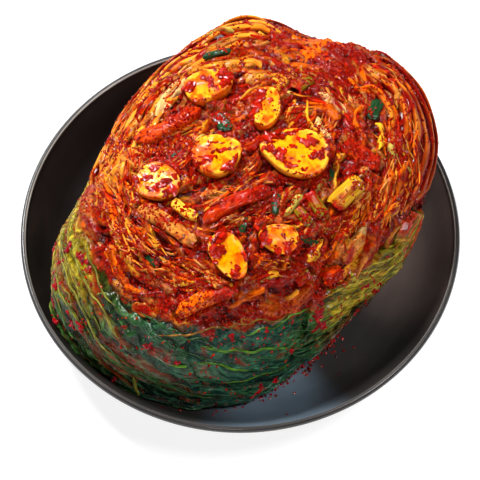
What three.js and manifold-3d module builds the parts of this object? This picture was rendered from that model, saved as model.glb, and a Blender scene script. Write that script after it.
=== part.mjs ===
// Whole-leaf cabbage kimchi folded into a dome, in its shallow stoneware dish.
// Millimetres, +Z up. The origin is the centre of the dish's foot, on the surface it stands on.
// +X is to the right and -Y to the front, where the green leaf ends wrap round the dome.
import * as THREE from 'three';
import { mergeVertices } from 'three/addons/utils/BufferGeometryUtils.js';
import Module from 'manifold-3d';

const wasm = await Module();
wasm.setup();

// ---- driving sizes -----------------------------------------------------------------------------
const DISH_RADIUS = 105;
const DISH_HEIGHT = 32;
const DISH_LIP = 2.8; // thickness of the rounded rim
const DISH_FLOOR = 8.5; // height of the eating surface
const DISH_UNDERSIDE = 3.4;
const FOOT_OUTER = 62;
const FOOT_INNER = 56;
const DISH_SEGMENTS = 56;

const HEAD_CENTRE_X = 2;
const HEAD_CENTRE_Y = 4.5;
const HEAD_TOP = 93;
const HEAD_FLOOR = 8.9;
// The dome's outline at 16 compass points, from +X towards +Y: the radius of its widest line, the
// height of that line, and the radius of its base as a share of the widest radius.
const WIDEST_RADIUS = [87, 98, 100, 90, 93, 80, 73, 72, 78, 99, 102, 97, 89, 76, 72, 79];
const WIDEST_HEIGHT = [50, 54, 58, 60, 60, 58, 54, 50, 44, 36, 28, 22, 20, 24, 34, 44];
const BASE_SHARE = [
  0.76, 0.76, 0.78, 0.8, 0.82, 0.84, 0.86, 0.88, 0.9, 0.93, 0.94, 0.96, 0.96, 0.94, 0.88, 0.8,
];
const SHOULDER_PLAN = 2.6; // exponents of the rounded shoulder
const SHOULDER_RISE = 2.0;

const CORE_INSET = 3; // the bare core lies this far inside the finished dome
const SKIN_GAP = 0.6; // clear space under a leaf or a piece
const LEAF_THICKNESS = 1;
const OUTER_LEAF_LIFT = LEAF_THICKNESS + 1.1;
const DISH_GAP = 0.8; // upright gap over the sloping wall of the dish
const FOOTING_SHARE = 0.8; // the core rests flat inside this share of its base radius

const CORE_TURNS = 48; // facets round the core
const CORE_LOW_RINGS = 9;
const CORE_HIGH_RINGS = 11;

// ---- colours -----------------------------------------------------------------------------------
const food = (color, roughness = 0.35) => new THREE.MeshStandardMaterial({ color, roughness });
const GLAZE = food(0x1f1815, 0.3);
const PASTE = food(0x8c1c08);
const GREEN_LEAF = food(0x3d5a1e);
const OLIVE_LEAF = food(0x76802a);
const DARK_LEAF = food(0x1d3a24);
const GARLIC = food(0xf0b030);
const RADISH = food(0xc4450f);
const STEM = food(0xc9a63a);
const SCALLION = food(0x21401c);

// ---- small helpers -----------------------------------------------------------------------------
const group = new THREE.Group();
group.name = 'kimchi_in_dish';

function add(name, geometry, material) {
  const mesh = new THREE.Mesh(geometry, material);
  mesh.name = name;
  group.add(mesh);
  return mesh;
}

function seededRandom(seed) {
  let state = seed;
  return () => {
    state = (state * 1664525 + 1013904223) % 4294967296;
    return state / 4294967296;
  };
}

const radians = THREE.MathUtils.degToRad;
const mix = THREE.MathUtils.lerp;

/** A closed geometry from vertices and triangles. */
function closedGeometry(vertices, triangles) {
  const geometry = new THREE.BufferGeometry();
  const places = vertices.flatMap((p) => [p.x, p.y, p.z]);
  geometry.setAttribute('position', new THREE.Float32BufferAttribute(places, 3));
  geometry.setIndex(triangles.flat());
  return geometry;
}

function toSolid(geometry) {
  const bare = geometry.clone();
  bare.deleteAttribute('normal');
  bare.deleteAttribute('uv');
  const merged = mergeVertices(bare, 1e-4);
  const vertProperties = new Float32Array(merged.getAttribute('position').array);
  const triVerts = new Uint32Array(merged.getIndex().array);
  return new wasm.Manifold(new wasm.Mesh({ numProp: 3, vertProperties, triVerts }));
}

function fromSolid(solid) {
  const { vertProperties, triVerts } = solid.getMesh();
  const geometry = new THREE.BufferGeometry();
  geometry.setAttribute('position', new THREE.Float32BufferAttribute(vertProperties, 3));
  geometry.setIndex([...triVerts]);
  return geometry;
}

/** Joins pieces to a body and keeps the largest closed piece, so that no loose scrap stays. */
function fuse(body, pieces) {
  let solid = toSolid(body);
  for (const piece of pieces) {
    solid = solid.add(toSolid(piece));
  }
  const bodies = solid.decompose().sort((a, b) => b.volume() - a.volume());
  return fromSolid(bodies[0]);
}

/** Rings of equal length joined into a closed tube with flat ends, seen counter-clockwise. */
function tube(rings) {
  const sides = rings[0].length;
  const triangles = [];
  for (let i = 0; i + 1 < rings.length; i += 1) {
    for (let j = 0; j < sides; j += 1) {
      const a = i * sides + j;
      const b = i * sides + ((j + 1) % sides);
      triangles.push([a, b, b + sides], [a, b + sides, a + sides]);
    }
  }
  const last = (rings.length - 1) * sides;
  for (let j = 1; j + 1 < sides; j += 1) {
    triangles.push([0, j + 1, j], [last, last + j, last + j + 1]);
  }
  return closedGeometry(rings.flat(), triangles);
}

// ---- dish --------------------------------------------------------------------------------------
/** Radius and height along the inside of the dish, from its centre to just under the lip. */
const DISH_INSIDE = [
  [0, DISH_FLOOR],
  [74, DISH_FLOOR + 0.1],
  [83, DISH_FLOOR + 1.9],
  [89.5, DISH_FLOOR + 5.7],
  [94.6, DISH_FLOOR + 10.9],
  [98.9, DISH_FLOOR + 16.9],
  [DISH_RADIUS - DISH_LIP, DISH_HEIGHT - 2],
];

function dishHeightAt(radius) {
  for (let i = 1; i < DISH_INSIDE.length; i += 1) {
    const [r0, z0] = DISH_INSIDE[i - 1];
    const [r1, z1] = DISH_INSIDE[i];
    if (radius <= r1) {
      return mix(z0, z1, (radius - r0) / (r1 - r0));
    }
  }
  return -Infinity;
}

function dishGeometry() {
  const lip = [];
  const lipSteps = 4;
  for (let i = 1; i <= lipSteps; i += 1) {
    const turn = (Math.PI * i) / (lipSteps + 1);
    const centre = DISH_RADIUS - DISH_LIP / 2;
    lip.push([centre + (DISH_LIP / 2) * Math.cos(turn), DISH_HEIGHT - 2 + 2 * Math.sin(turn)]);
  }
  const outside = [
    [0, DISH_UNDERSIDE],
    [FOOT_INNER - 2, DISH_UNDERSIDE],
    [FOOT_INNER, 0],
    [FOOT_OUTER, 0],
    [FOOT_OUTER + 1.5, DISH_UNDERSIDE],
    [78, 5],
    [86.5, 8],
    [93, 12.8],
    [98.2, 18.5],
    [102.6, 24.6],
    [DISH_RADIUS - 0.25, 27.9],
    [DISH_RADIUS, DISH_HEIGHT - 2],
  ];
  const profile = [...outside, ...lip, ...DISH_INSIDE.slice().reverse()];
  const points = profile.map(([r, z]) => new THREE.Vector2(r, z));
  return new THREE.LatheGeometry(points, DISH_SEGMENTS).rotateX(Math.PI / 2);
}

add('dish', dishGeometry(), GLAZE);

// ---- dome --------------------------------------------------------------------------------------
/** Smooth closed curve through evenly spaced values. */
function around(values, angle) {
  const n = values.length;
  const place = ((((angle / (2 * Math.PI)) * n) % n) + n) % n;
  const i = Math.floor(place);
  const t = place - i;
  const [p0, p1, p2, p3] = [-1, 0, 1, 2].map((k) => values[(i + k + n) % n]);
  const slope = (p2 - p0 + t * (2 * p0 - 5 * p1 + 4 * p2 - p3 + t * (3 * (p1 - p2) + p3 - p0))) / 2;
  return p1 + t * slope;
}

/** The dome without any relief. Level 0 is the edge of its base, 0.5 its widest line, 1 its top. */
function domePoint(angle, level) {
  const widest = around(WIDEST_RADIUS, angle);
  const height = around(WIDEST_HEIGHT, angle);
  const base = widest * around(BASE_SHARE, angle);
  const low = Math.min(level, 0.5) * Math.PI;
  const high = Math.max(level - 0.5, 0) * Math.PI;
  let radius = base + (widest - base) * Math.sin(low);
  let z = mix(HEAD_FLOOR, height, 1 - Math.cos(low));
  if (level > 0.5) {
    radius = widest * Math.max(Math.cos(high), 0) ** (2 / SHOULDER_PLAN);
    z = mix(height, HEAD_TOP, Math.sin(high) ** (2 / SHOULDER_RISE));
  }
  const x = HEAD_CENTRE_X + radius * Math.cos(angle);
  const y = HEAD_CENTRE_Y + radius * Math.sin(angle);
  return new THREE.Vector3(x, y, z);
}

function domeNormal(angle, level) {
  const step = 0.004;
  const low = Math.min(Math.max(level - step, 0), 0.97);
  const along = domePoint(angle + step, low).sub(domePoint(angle - step, low));
  const up = domePoint(angle, low + 2 * step).sub(domePoint(angle, low));
  const normal = along.cross(up).normalize();
  return level > 0.97 ? normal.lerp(new THREE.Vector3(0, 0, 1), (level - 0.97) / 0.03).normalize() : normal;
}

/** A point lifted off the dome along its normal, kept above the inside of the dish. */
function skinPoint(angle, level, lift) {
  const point = domePoint(angle, level).addScaledVector(domeNormal(angle, level), lift);
  point.z = Math.max(point.z, dishHeightAt(Math.hypot(point.x, point.y)) + DISH_GAP);
  return point;
}

/** Where the dome's top is above a place in plan. */
function aboveDome(x, y) {
  const angle = Math.atan2(y - HEAD_CENTRE_Y, x - HEAD_CENTRE_X);
  const share = Math.hypot(x - HEAD_CENTRE_X, y - HEAD_CENTRE_Y) / around(WIDEST_RADIUS, angle);
  const level = 0.5 + Math.acos(Math.min(share, 1) ** (SHOULDER_PLAN / 2)) / Math.PI;
  return { angle, level, share };
}

function bareCore() {
  const levels = [];
  for (let i = 0; i < CORE_LOW_RINGS; i += 1) {
    levels.push((0.5 * i) / CORE_LOW_RINGS);
  }
  for (let i = 0; i < CORE_HIGH_RINGS; i += 1) {
    levels.push(0.5 + (0.5 * i) / CORE_HIGH_RINGS);
  }
  const vertices = [];
  for (let j = 0; j < CORE_TURNS; j += 1) {
    const edge = skinPoint((2 * Math.PI * j) / CORE_TURNS, 0, -CORE_INSET);
    const x = mix(HEAD_CENTRE_X, edge.x, FOOTING_SHARE);
    const y = mix(HEAD_CENTRE_Y, edge.y, FOOTING_SHARE);
    const z = Math.max(HEAD_FLOOR, dishHeightAt(Math.hypot(x, y)) + DISH_GAP);
    vertices.push(new THREE.Vector3(x, y, z));
  }
  for (const level of levels) {
    for (let j = 0; j < CORE_TURNS; j += 1) {
      vertices.push(skinPoint((2 * Math.PI * j) / CORE_TURNS, level, -CORE_INSET));
    }
  }
  const base = vertices.push(new THREE.Vector3(HEAD_CENTRE_X, HEAD_CENTRE_Y, HEAD_FLOOR)) - 1;
  const top = vertices.push(new THREE.Vector3(HEAD_CENTRE_X, HEAD_CENTRE_Y, HEAD_TOP - CORE_INSET)) - 1;
  const triangles = [];
  const lastRing = levels.length * CORE_TURNS;
  for (let j = 0; j < CORE_TURNS; j += 1) {
    const next = (j + 1) % CORE_TURNS;
    triangles.push([base, next, j], [top, lastRing + j, lastRing + next]);
    for (let i = 0; i < lastRing; i += CORE_TURNS) {
      const above = i + CORE_TURNS;
      triangles.push([i + j, i + next, above + next], [i + j, above + next, above + j]);
    }
  }
  return closedGeometry(vertices, triangles);
}

// ---- leaf ends stacked round the back and sides ------------------------------------------------
/** The thick edge of one leaf, running round the dome and standing out of the core. */
function leafEdge({ from, to, level, wave = 0.008, phase = 0, stand = 0.3 }) {
  const steps = Math.max(4, Math.round((to - from) / 10));
  const rings = [];
  for (let i = 0; i <= steps; i += 1) {
    const t = i / steps;
    const angle = radians(mix(from, to, t));
    const middle = level + wave * Math.sin(5 * angle + phase);
    const taper = Math.min(1, 0.25 + 4 * Math.min(t, 1 - t));
    const crest = mix(-CORE_INSET, stand, taper);
    rings.push([
      skinPoint(angle, middle + 0.03, -CORE_INSET - 2),
      skinPoint(angle, middle + 0.016, crest),
      skinPoint(angle, middle - 0.012, crest - 1),
      skinPoint(angle, middle - 0.026, -CORE_INSET - 2),
    ]);
  }
  return tube(rings);
}

function leafEdges() {
  const edges = [];
  for (let k = 0; k < 6; k += 1) {
    const to = k < 2 ? 156 : 180 - 5 * k;
    edges.push(leafEdge({ from: 79, to, level: 0.53 + 0.052 * k, phase: 1.3 * k }));
  }
  for (let k = 0; k < 5; k += 1) {
    const from = k < 2 ? 8 : -10 + 4 * k;
    edges.push(leafEdge({ from, to: 50 - 2 * k, level: 0.5 + 0.06 * k, phase: 2.1 * k }));
  }
  for (let k = 0; k < 4; k += 1) {
    edges.push(leafEdge({ from: 12 + 5 * k, to: 158 - 4 * k, level: 0.44 - 0.09 * k, phase: 0.7 * k }));
  }
  return edges;
}

// ---- pieces that lie on the dome ---------------------------------------------------------------
/** Places along a gently bowed line in plan, each with its surface point and three directions. */
function pathOnDome({ start, end, bow = 0, lift, steps }) {
  const [ax, ay] = start;
  const [bx, by] = end;
  const length = Math.hypot(bx - ax, by - ay);
  const places = [];
  for (let i = 0; i <= steps; i += 1) {
    const t = i / steps;
    const side = bow * 4 * t * (1 - t);
    const x = mix(ax, bx, t) - (side * (by - ay)) / length;
    const y = mix(ay, by, t) + (side * (bx - ax)) / length;
    const { angle, level } = aboveDome(x, y);
    places.push({ point: skinPoint(angle, level, lift), normal: domeNormal(angle, level) });
  }
  for (let i = 0; i <= steps; i += 1) {
    const before = places[Math.max(i - 1, 0)].point;
    const after = places[Math.min(i + 1, steps)].point;
    const along = after.clone().sub(before).normalize();
    const across = places[i].normal.clone().cross(along).normalize();
    places[i].across = across;
    places[i].up = along.cross(across).normalize();
  }
  return places;
}

// Sections of a stick and of a flat shred, as shares of width and height.
const STICK_SECTION = [
  [0.5, -0.18],
  [0.34, 0.5],
  [-0.34, 0.5],
  [-0.5, -0.18],
  [-0.36, -0.5],
  [0.36, -0.5],
];
const SHRED_SECTION = [
  [0.5, -0.5],
  [0.38, 0.5],
  [-0.38, 0.5],
  [-0.5, -0.5],
];

/** A stick or shred along a path, thinner towards its ends. */
function strip({ width, height, section = STICK_SECTION, endTaper = 0.75, ...route }) {
  const places = pathOnDome({ steps: 5, ...route });
  const rings = places.map(({ point, across, up }, i) => {
    const share = i === 0 || i === places.length - 1 ? endTaper : 1;
    return section.map(([a, b]) =>
      point.clone().addScaledVector(across, a * width * share).addScaledVector(up, b * height * share));
  });
  return tube(rings);
}

/** A stick that rests on the core with a clear gap. */
function restingStrip(options) {
  return strip({ ...options, lift: -CORE_INSET + SKIN_GAP + options.height / 2 + (options.raise ?? 0) });
}

/** Half a garlic clove: flat below, rounded above, longer than wide. */
function cloveGeometry(length, width, height) {
  const sides = 12;
  const layers = [
    [0.86, 0],
    [1, 0.32],
    [0.9, 0.75],
    [0.55, 1],
  ];
  const rings = layers.map(([share, rise]) => {
    const ring = [];
    for (let j = 0; j < sides; j += 1) {
      const turn = (2 * Math.PI * j) / sides;
      const pointed = 1 - 0.16 * Math.cos(turn);
      ring.push(new THREE.Vector3(
        (length / 2) * share * Math.cos(turn),
        (width / 2) * share * Math.sin(turn) * pointed,
        height * rise,
      ));
    }
    return ring;
  });
  return tube(rings);
}

function seat(mesh, x, y, turn) {
  const { angle, level } = aboveDome(x, y);
  const normal = domeNormal(angle, level);
  mesh.position.copy(skinPoint(angle, level, -CORE_INSET + SKIN_GAP));
  const tilt = new THREE.Quaternion().setFromUnitVectors(new THREE.Vector3(0, 0, 1), normal);
  const spin = new THREE.Quaternion().setFromAxisAngle(new THREE.Vector3(0, 0, 1), radians(turn));
  mesh.quaternion.copy(tilt.multiply(spin));
}

// Garlic: centre in plan, length, width, height and the direction of the long axis.
const CLOVES = [
  { x: -14, y: 40.5, length: 24, width: 18, height: 7, turn: 24 },
  { x: 12, y: 26.5, length: 23, width: 12, height: 8, turn: 80 },
  { x: 24, y: 3.5, length: 32, width: 23, height: 8, turn: 170 },
  { x: -10, y: 1.5, length: 23, width: 20, height: 8, turn: 18 },
  { x: -36, y: -10.5, length: 21, width: 18, height: 7, turn: -28 },
  { x: -5, y: -44.5, length: 22, width: 15, height: 7, turn: -58 },
  { x: 16, y: -35.5, length: 18, width: 13, height: 7, turn: 172 },
];

// Radish and leaf-rib sticks: both ends in plan, width, height and sideways bow.
const STICKS = [
  { start: [-47, 16.5], end: [-19, 28.5], width: 8, height: 6, bow: -3 },
  { start: [-16, -29.5], end: [13, -14.5], width: 7, height: 5, bow: 1.5 },
  { start: [-45, -21.5], end: [-20, -39.5], width: 7, height: 5, bow: 1 },
  { start: [-27, -65.5], end: [-3, -57.5], width: 7, height: 5, bow: 1 },
  { start: [46, 10.5], end: [62, 1.5], width: 8, height: 5, bow: 1 },
  { start: [36.5, -46.5], end: [46, -41], width: 7, height: 5, bow: 0 },
  { start: [47, -38.5], end: [56, -27.5], width: 7, height: 4, bow: 1 },
];
const PALE_STICK = { start: [-29.5, -19.5], end: [-19, -27.5], width: 5, height: 5, bow: -1 };

// Thick short lengths of scallion and cabbage rib.
const CHUNKS = [
  { start: [41, -19.5], end: [53, -6.5], width: 9, height: 7, bow: 0 },
  { start: [30, -14.5], end: [37, -23.5], width: 6, height: 5, bow: 0 },
  { start: [25, -21.5], end: [31, -27.5], width: 5, height: 4, bow: 0 },
  { start: [25, 38.5], end: [33, 45.5], width: 6, height: 5, bow: 1 },
  { start: [25, -50.5], end: [31, -45.5], width: 5, height: 4, bow: 0 },
];

// Thin dark green lengths of scallion leaf.
const GREENS = [
  { start: [-12, 25.5], end: [-6, 16.5], width: 7, height: 3, bow: 1 },
  { start: [-58, 2.5], end: [-52, 12.5], width: 3, height: 2.5, bow: 0.5 },
  { start: [-33, 3], end: [-26, 7.5], width: 3.5, height: 2.5, bow: 0.5 },
  { start: [15.5, -25], end: [17, -15.5], width: 4, height: 2.5, bow: 0.5 },
  { start: [26, -33.5], end: [36, -34.5], width: 3, height: 2.5, bow: -0.5 },
  { start: [61, 26.5], end: [65, 38.5], width: 6, height: 3, bow: 1 },
  { start: [0, -35.5], end: [3, -27.5], width: 2.5, height: 2.5, bow: 0 },
  { start: [40, -10.5], end: [42, -1.5], width: 3, height: 2.5, bow: 0 },
  { start: [-17, 58.5], end: [-4, 61.5], width: 3, height: 2.5, bow: 0.5, raise: 3.4 },
  { start: [-42, -42.5], end: [-36, -47.5], width: 3, height: 2.5, bow: 0 },
];

CLOVES.forEach(({ x, y, length, width, height, turn }, i) => {
  const mesh = add(`garlic_${i + 1}`, cloveGeometry(length, width, height), GARLIC);
  seat(mesh, x, y, turn);
});
STICKS.forEach((options, i) => add(`radish_stick_${i + 1}`, restingStrip(options), RADISH));
add('pale_stick', restingStrip(PALE_STICK), STEM);
CHUNKS.forEach((options, i) => add(`stem_chunk_${i + 1}`, restingStrip(options), STEM));
GREENS.forEach((options, i) => add(`scallion_${i + 1}`, restingStrip(options), SCALLION));

// ---- shreds of cabbage fused to the core -------------------------------------------------------
/** Distance in plan between two short segments, good enough at this spacing. */
function segmentDistance(a, b, c, d) {
  let nearest = Infinity;
  for (let i = 0; i <= 6; i += 1) {
    const px = mix(a[0], b[0], i / 6);
    const py = mix(a[1], b[1], i / 6);
    const dx = d[0] - c[0];
    const dy = d[1] - c[1];
    const along = ((px - c[0]) * dx + (py - c[1]) * dy) / (dx * dx + dy * dy);
    const t = THREE.MathUtils.clamp(along, 0, 1);
    nearest = Math.min(nearest, Math.hypot(px - c[0] - t * dx, py - c[1] - t * dy));
  }
  return nearest;
}

/** Every topping as a segment in plan with a half width. */
function toppingFootprints() {
  const footprints = [...STICKS, PALE_STICK, ...CHUNKS, ...GREENS].map(({ start, end, width, bow }) => (
    { start, end, half: width / 2 + Math.abs(bow) + 0.6 }));
  for (const { x, y, length, width, turn } of CLOVES) {
    const reach = (length - width) / 2;
    const dx = reach * Math.cos(radians(turn));
    const dy = reach * Math.sin(radians(turn));
    footprints.push({ start: [x - dx, y - dy], end: [x + dx + 0.01, y + dy], half: width / 2 + 1 });
  }
  return footprints;
}

/** How far out the bare red top reaches before the outer leaves begin, as a share of the radius. */
function redReach(angle) {
  const front = Math.max(0, Math.cos(angle - radians(255)));
  const underFlap = Math.abs(angle - radians(62)) < radians(24);
  return underFlap ? 0.53 : mix(0.86, 0.65, Math.min(1, 1.6 * front));
}

/** How far each ring of shreds lies from the dome's middle, and how many it tries to hold. */
const SHRED_RINGS = [
  [0.1, 6],
  [0.25, 12],
  [0.4, 18],
  [0.53, 24],
  [0.64, 28],
  [0.74, 28],
  [0.83, 26],
];

/** Flat shreds along the folds of the dome; one that would cross a topping is shortened or skipped. */
function shreds() {
  const random = seededRandom(17);
  const footprints = toppingFootprints();
  const pieces = [];
  for (const [share, count] of SHRED_RINGS) {
    for (let j = 0; j < count; j += 1) {
      const angle = (2 * Math.PI * (j + 0.6 * random())) / count;
      const reach = share * around(WIDEST_RADIUS, angle);
      const x = HEAD_CENTRE_X + reach * Math.cos(angle);
      const y = HEAD_CENTRE_Y + reach * Math.sin(angle);
      const swirl = share < 0.4 ? radians(35) : angle + Math.PI / 2;
      const direction = swirl + 0.7 * (random() - 0.5);
      const width = mix(3.6, 6, random());
      const bow = mix(-1, 1, random());
      const full = mix(8, 14, random());
      const ends = [1, 0.7, 0.45].map((part) => {
        const dx = full * part * Math.cos(direction);
        const dy = full * part * Math.sin(direction);
        return { start: [x - dx, y - dy], end: [x + dx, y + dy] };
      });
      const clear = ({ start, end }) => footprints.every((other) => (
        segmentDistance(start, end, other.start, other.end) > other.half + width / 2));
      const route = share <= redReach(angle) ? ends.find(clear) : undefined;
      if (route) {
        const shape = { width, height: 4.6, bow, lift: -CORE_INSET, steps: 3, endTaper: 0.7 };
        pieces.push(strip({ ...route, ...shape, section: SHRED_SECTION }));
      }
    }
  }
  return pieces;
}

add('cabbage_head', fuse(bareCore(), [...leafEdges(), ...shreds()]), PASTE);

// ---- green leaves wrapped round the front and sides --------------------------------------------
/** Gentle waves shared by every leaf, so that overlapping leaves stay parallel. */
function leafWave(angle, level) {
  return 0.45 * (1 + Math.sin(9 * angle + 7 * level) * Math.cos(4 * angle - 13 * level));
}

/** One thin wavy leaf over a patch of the dome, both faces split into triangles alike. */
function leafGeometry({ from, to, low, high, lift }) {
  const across = Math.round((to - from) / 6);
  const up = 9;
  const face = (offset) => {
    const points = [];
    for (let i = 0; i <= across; i += 1) {
      const t = i / across;
      const angle = radians(mix(from, to, t));
      const ruffle = 0.012 * Math.sin(17 * t + from);
      const fullness = Math.min(1, 0.45 + 3.5 * Math.min(t, 1 - t));
      const middle = mix(low[0] + high[0], low[1] + high[1], t) / 2;
      const half = (fullness * mix(high[0] - low[0], high[1] - low[1], t)) / 2 + ruffle;
      for (let j = 0; j <= up; j += 1) {
        const level = middle + half * ((2 * j) / up - 1);
        points.push(skinPoint(angle, level, lift + offset + leafWave(angle, level)));
      }
    }
    return points;
  };
  const inner = face(0);
  const outer = face(LEAF_THICKNESS);
  const row = up + 1;
  const shift = inner.length;
  const triangles = [];
  for (let i = 0; i < across; i += 1) {
    for (let j = 0; j < up; j += 1) {
      const a = i * row + j;
      const b = a + row;
      triangles.push([shift + a, shift + b, shift + b + 1], [shift + a, shift + b + 1, shift + a + 1]);
      triangles.push([a, b + 1, b], [a, a + 1, b + 1]);
    }
  }
  const rim = [];
  for (let i = 0; i < across; i += 1) {
    rim.push(i * row);
  }
  for (let j = 0; j < up; j += 1) {
    rim.push(across * row + j);
  }
  for (let i = across; i > 0; i -= 1) {
    rim.push(i * row + up);
  }
  for (let j = up; j > 0; j -= 1) {
    rim.push(j);
  }
  rim.forEach((a, k) => {
    const b = rim[(k + 1) % rim.length];
    triangles.push([a, b, shift + b], [a, shift + b, shift + a]);
  });
  return closedGeometry([...inner, ...outer], triangles);
}

/** Chilli flakes stuck to the outside of a leaf. */
function flakes({ from, to, low, high, lift, seed }, count) {
  const random = seededRandom(seed);
  const pieces = [];
  for (let k = 0; k < count; k += 1) {
    const t = mix(0.12, 0.88, (k + 0.7 * random()) / count);
    const angle = radians(mix(from, to, t));
    const level = mix(mix(low[0], low[1], t) + 0.16, mix(high[0], high[1], t) - 0.04, random());
    const flake = new THREE.OctahedronGeometry(1);
    flake.scale(mix(1.6, 2.6, random()), mix(1.4, 2, random()), 1.1);
    const upright = new THREE.Vector3(0, 0, 1);
    const turn = new THREE.Quaternion().setFromUnitVectors(upright, domeNormal(angle, level));
    const spot = skinPoint(angle, level, lift + LEAF_THICKNESS + 0.2 + leafWave(angle, level));
    flake.applyQuaternion(turn).translate(spot.x, spot.y, spot.z);
    pieces.push(flake);
  }
  return pieces;
}

const INNER = -CORE_INSET + SKIN_GAP;
const OUTER = INNER + OUTER_LEAF_LIFT;
// Each leaf: the stretch round the dome in degrees, its lower and upper level at both ends, its
// layer, its material and how many flakes are fused to it.
const leaf = (name, from, to, low, high, lift, material, flaked = 0) => ({
  name, from, to, low, high, lift, material, flaked,
});
const LEAVES = [
  leaf('leaf_left', 160, 214, [0.24, 0.36], [0.6, 0.72], INNER, OLIVE_LEAF),
  leaf('leaf_front_left', 202, 262, [0.38, 0.25], [0.68, 0.73], OUTER, GREEN_LEAF, 10),
  leaf('leaf_front', 248, 298, [0.26, 0.25], [0.69, 0.68], INNER, DARK_LEAF),
  leaf('leaf_front_right', 286, 342, [0.44, 0.46], [0.68, 0.63], OUTER, OLIVE_LEAF, 9),
  leaf('leaf_under', 301, 330, [0.18, 0.18], [0.4, 0.4], INNER, DARK_LEAF, 4),
  leaf('leaf_flap', 50, 75, [0.6, 0.64], [0.78, 0.8], INNER, RADISH),
  leaf('leaf_right', 325, 362, [0.43, 0.24], [0.6, 0.58], INNER, GREEN_LEAF),
];

LEAVES.forEach((options, i) => {
  const { name, material, flaked } = options;
  const sheet = leafGeometry(options);
  add(name, flaked ? fuse(sheet, flakes({ ...options, seed: 40 + i }, flaked)) : sheet, material);
});

export default group;
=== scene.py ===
# Whole-leaf cabbage kimchi in a shallow stoneware dish: the visible surfaces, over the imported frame.
# Sizes are in millimetres until a mesh is made; +Z is up and -Y is the front.
import math
from itertools import product

import bpy
import numpy as np
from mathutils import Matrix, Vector
from mathutils.bvhtree import BVHTree


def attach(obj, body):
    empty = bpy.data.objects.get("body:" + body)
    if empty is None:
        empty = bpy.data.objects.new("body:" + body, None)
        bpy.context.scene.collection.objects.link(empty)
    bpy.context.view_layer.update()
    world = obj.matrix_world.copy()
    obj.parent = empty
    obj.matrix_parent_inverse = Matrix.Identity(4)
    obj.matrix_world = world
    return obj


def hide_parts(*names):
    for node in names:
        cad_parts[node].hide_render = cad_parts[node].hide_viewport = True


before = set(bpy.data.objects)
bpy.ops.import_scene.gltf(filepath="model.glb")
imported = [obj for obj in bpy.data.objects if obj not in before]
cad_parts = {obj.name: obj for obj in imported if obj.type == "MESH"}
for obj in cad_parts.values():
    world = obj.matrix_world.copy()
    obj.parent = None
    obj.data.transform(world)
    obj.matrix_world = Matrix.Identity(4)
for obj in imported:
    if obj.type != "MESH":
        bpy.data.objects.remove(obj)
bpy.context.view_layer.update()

# ---- driving sizes, as in the solids ----
MM = 0.001
DISH_RADIUS = 105.0
DISH_HEIGHT = 32.0
DISH_LIP = 2.8
DISH_FLOOR = 8.5
FOOT_OUTER = 62.0
FOOT_INNER = 56.0
DISH_UNDERSIDE = 3.4

HEAD_CENTRE = np.array([2.0, 4.5])
HEAD_TOP = 93.0
HEAD_FLOOR = 8.9
# The dome's outline at 16 compass points, as in the solids. The radii are the rounded least-squares fit that
# a scratch program made to the photo's outline, one of them changed. The heights and shares were given.
WIDEST_RADIUS = [87, 98, 100, 90, 93, 80, 73, 72, 78, 99, 102, 97, 89, 76, 72, 79]
WIDEST_HEIGHT = [50, 54, 58, 60, 60, 58, 54, 50, 44, 36, 28, 22, 20, 24, 34, 44]
BASE_SHARE = [0.76, 0.76, 0.78, 0.8, 0.82, 0.84, 0.86, 0.88, 0.9, 0.93, 0.94, 0.96, 0.96, 0.94, 0.88, 0.8]
SHOULDER_PLAN = 2.6
SHOULDER_RISE = 2.0
CORE_INSET = 3.0
SKIN_GAP = 0.6
DISH_GAP = 0.4
GRID_PER_DEGREE = 1.6
RAY_START = 22.0  # how far outside the dome a ray starts
DROP_START = 130.0  # the height from which one is dropped
INNER = -CORE_INSET + SKIN_GAP
OUTER = INNER + 2.1

DISH_INSIDE = [
    (0.0, DISH_FLOOR), (74.0, DISH_FLOOR + 0.1), (83.0, DISH_FLOOR + 1.9), (89.5, DISH_FLOOR + 5.7),
    (94.6, DISH_FLOOR + 10.9), (98.9, DISH_FLOOR + 16.9), (DISH_RADIUS - DISH_LIP, DISH_HEIGHT - 2.0),
]
DISH_OUTSIDE = [
    (0.0, DISH_UNDERSIDE), (FOOT_INNER - 2.0, DISH_UNDERSIDE), (FOOT_INNER, 0.0), (FOOT_OUTER, 0.0),
    (FOOT_OUTER + 1.5, DISH_UNDERSIDE), (78.0, 5.0), (86.5, 8.0), (93.0, 12.8), (98.2, 18.5), (102.6, 24.6),
    (DISH_RADIUS - 0.25, 27.9), (DISH_RADIUS, DISH_HEIGHT - 2.0),
]


# ---- numbers, noise and curves ----
def mix(a, b, t):
    """From a to b by the share t."""
    return a + (b - a) * t


def rgb(*parts):
    """A linear colour."""
    return np.array(parts)


def blend(a, b, t):
    """Mixes two colours, or fields of colours, by a field of shares."""
    return a + (b - a) * np.asarray(t)[..., None]


def triple(x, y=0.0, z=0.0):
    """Fields of x, y and z as one field of points."""
    return np.stack(np.broadcast_arrays(x, y, z), -1)


def stretched(run, by):
    """Run coordinates in which noise comes out longer along the run."""
    return run / (by, 1.0, 1.0)


def off_ends(t, reach):
    """0 at both ends of a line and 1 from `reach` on, as shares of its length."""
    return smooth(0, reach, np.minimum(t, 1 - t))


def unit(v):
    return v / np.linalg.norm(v, axis=-1, keepdims=True)


def eased(line, rounds):
    """Rounds off a line's corners; its ends stay."""
    for _ in range(rounds):
        line[1:-1] = (line[:-2] + 2 * line[1:-1] + line[2:]) / 4
    return line


def spline(a, b, c, d, t):
    """A smooth curve from b to c, with a before and d after them."""
    return b + t / 2 * (c - a + t * (2 * a - 5 * b + 4 * c - d + t * (3 * (b - c) + d - a)))


def path_length(points):
    return np.concatenate([[0], np.cumsum(np.linalg.norm(np.diff(points, axis=0), axis=1))])


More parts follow.
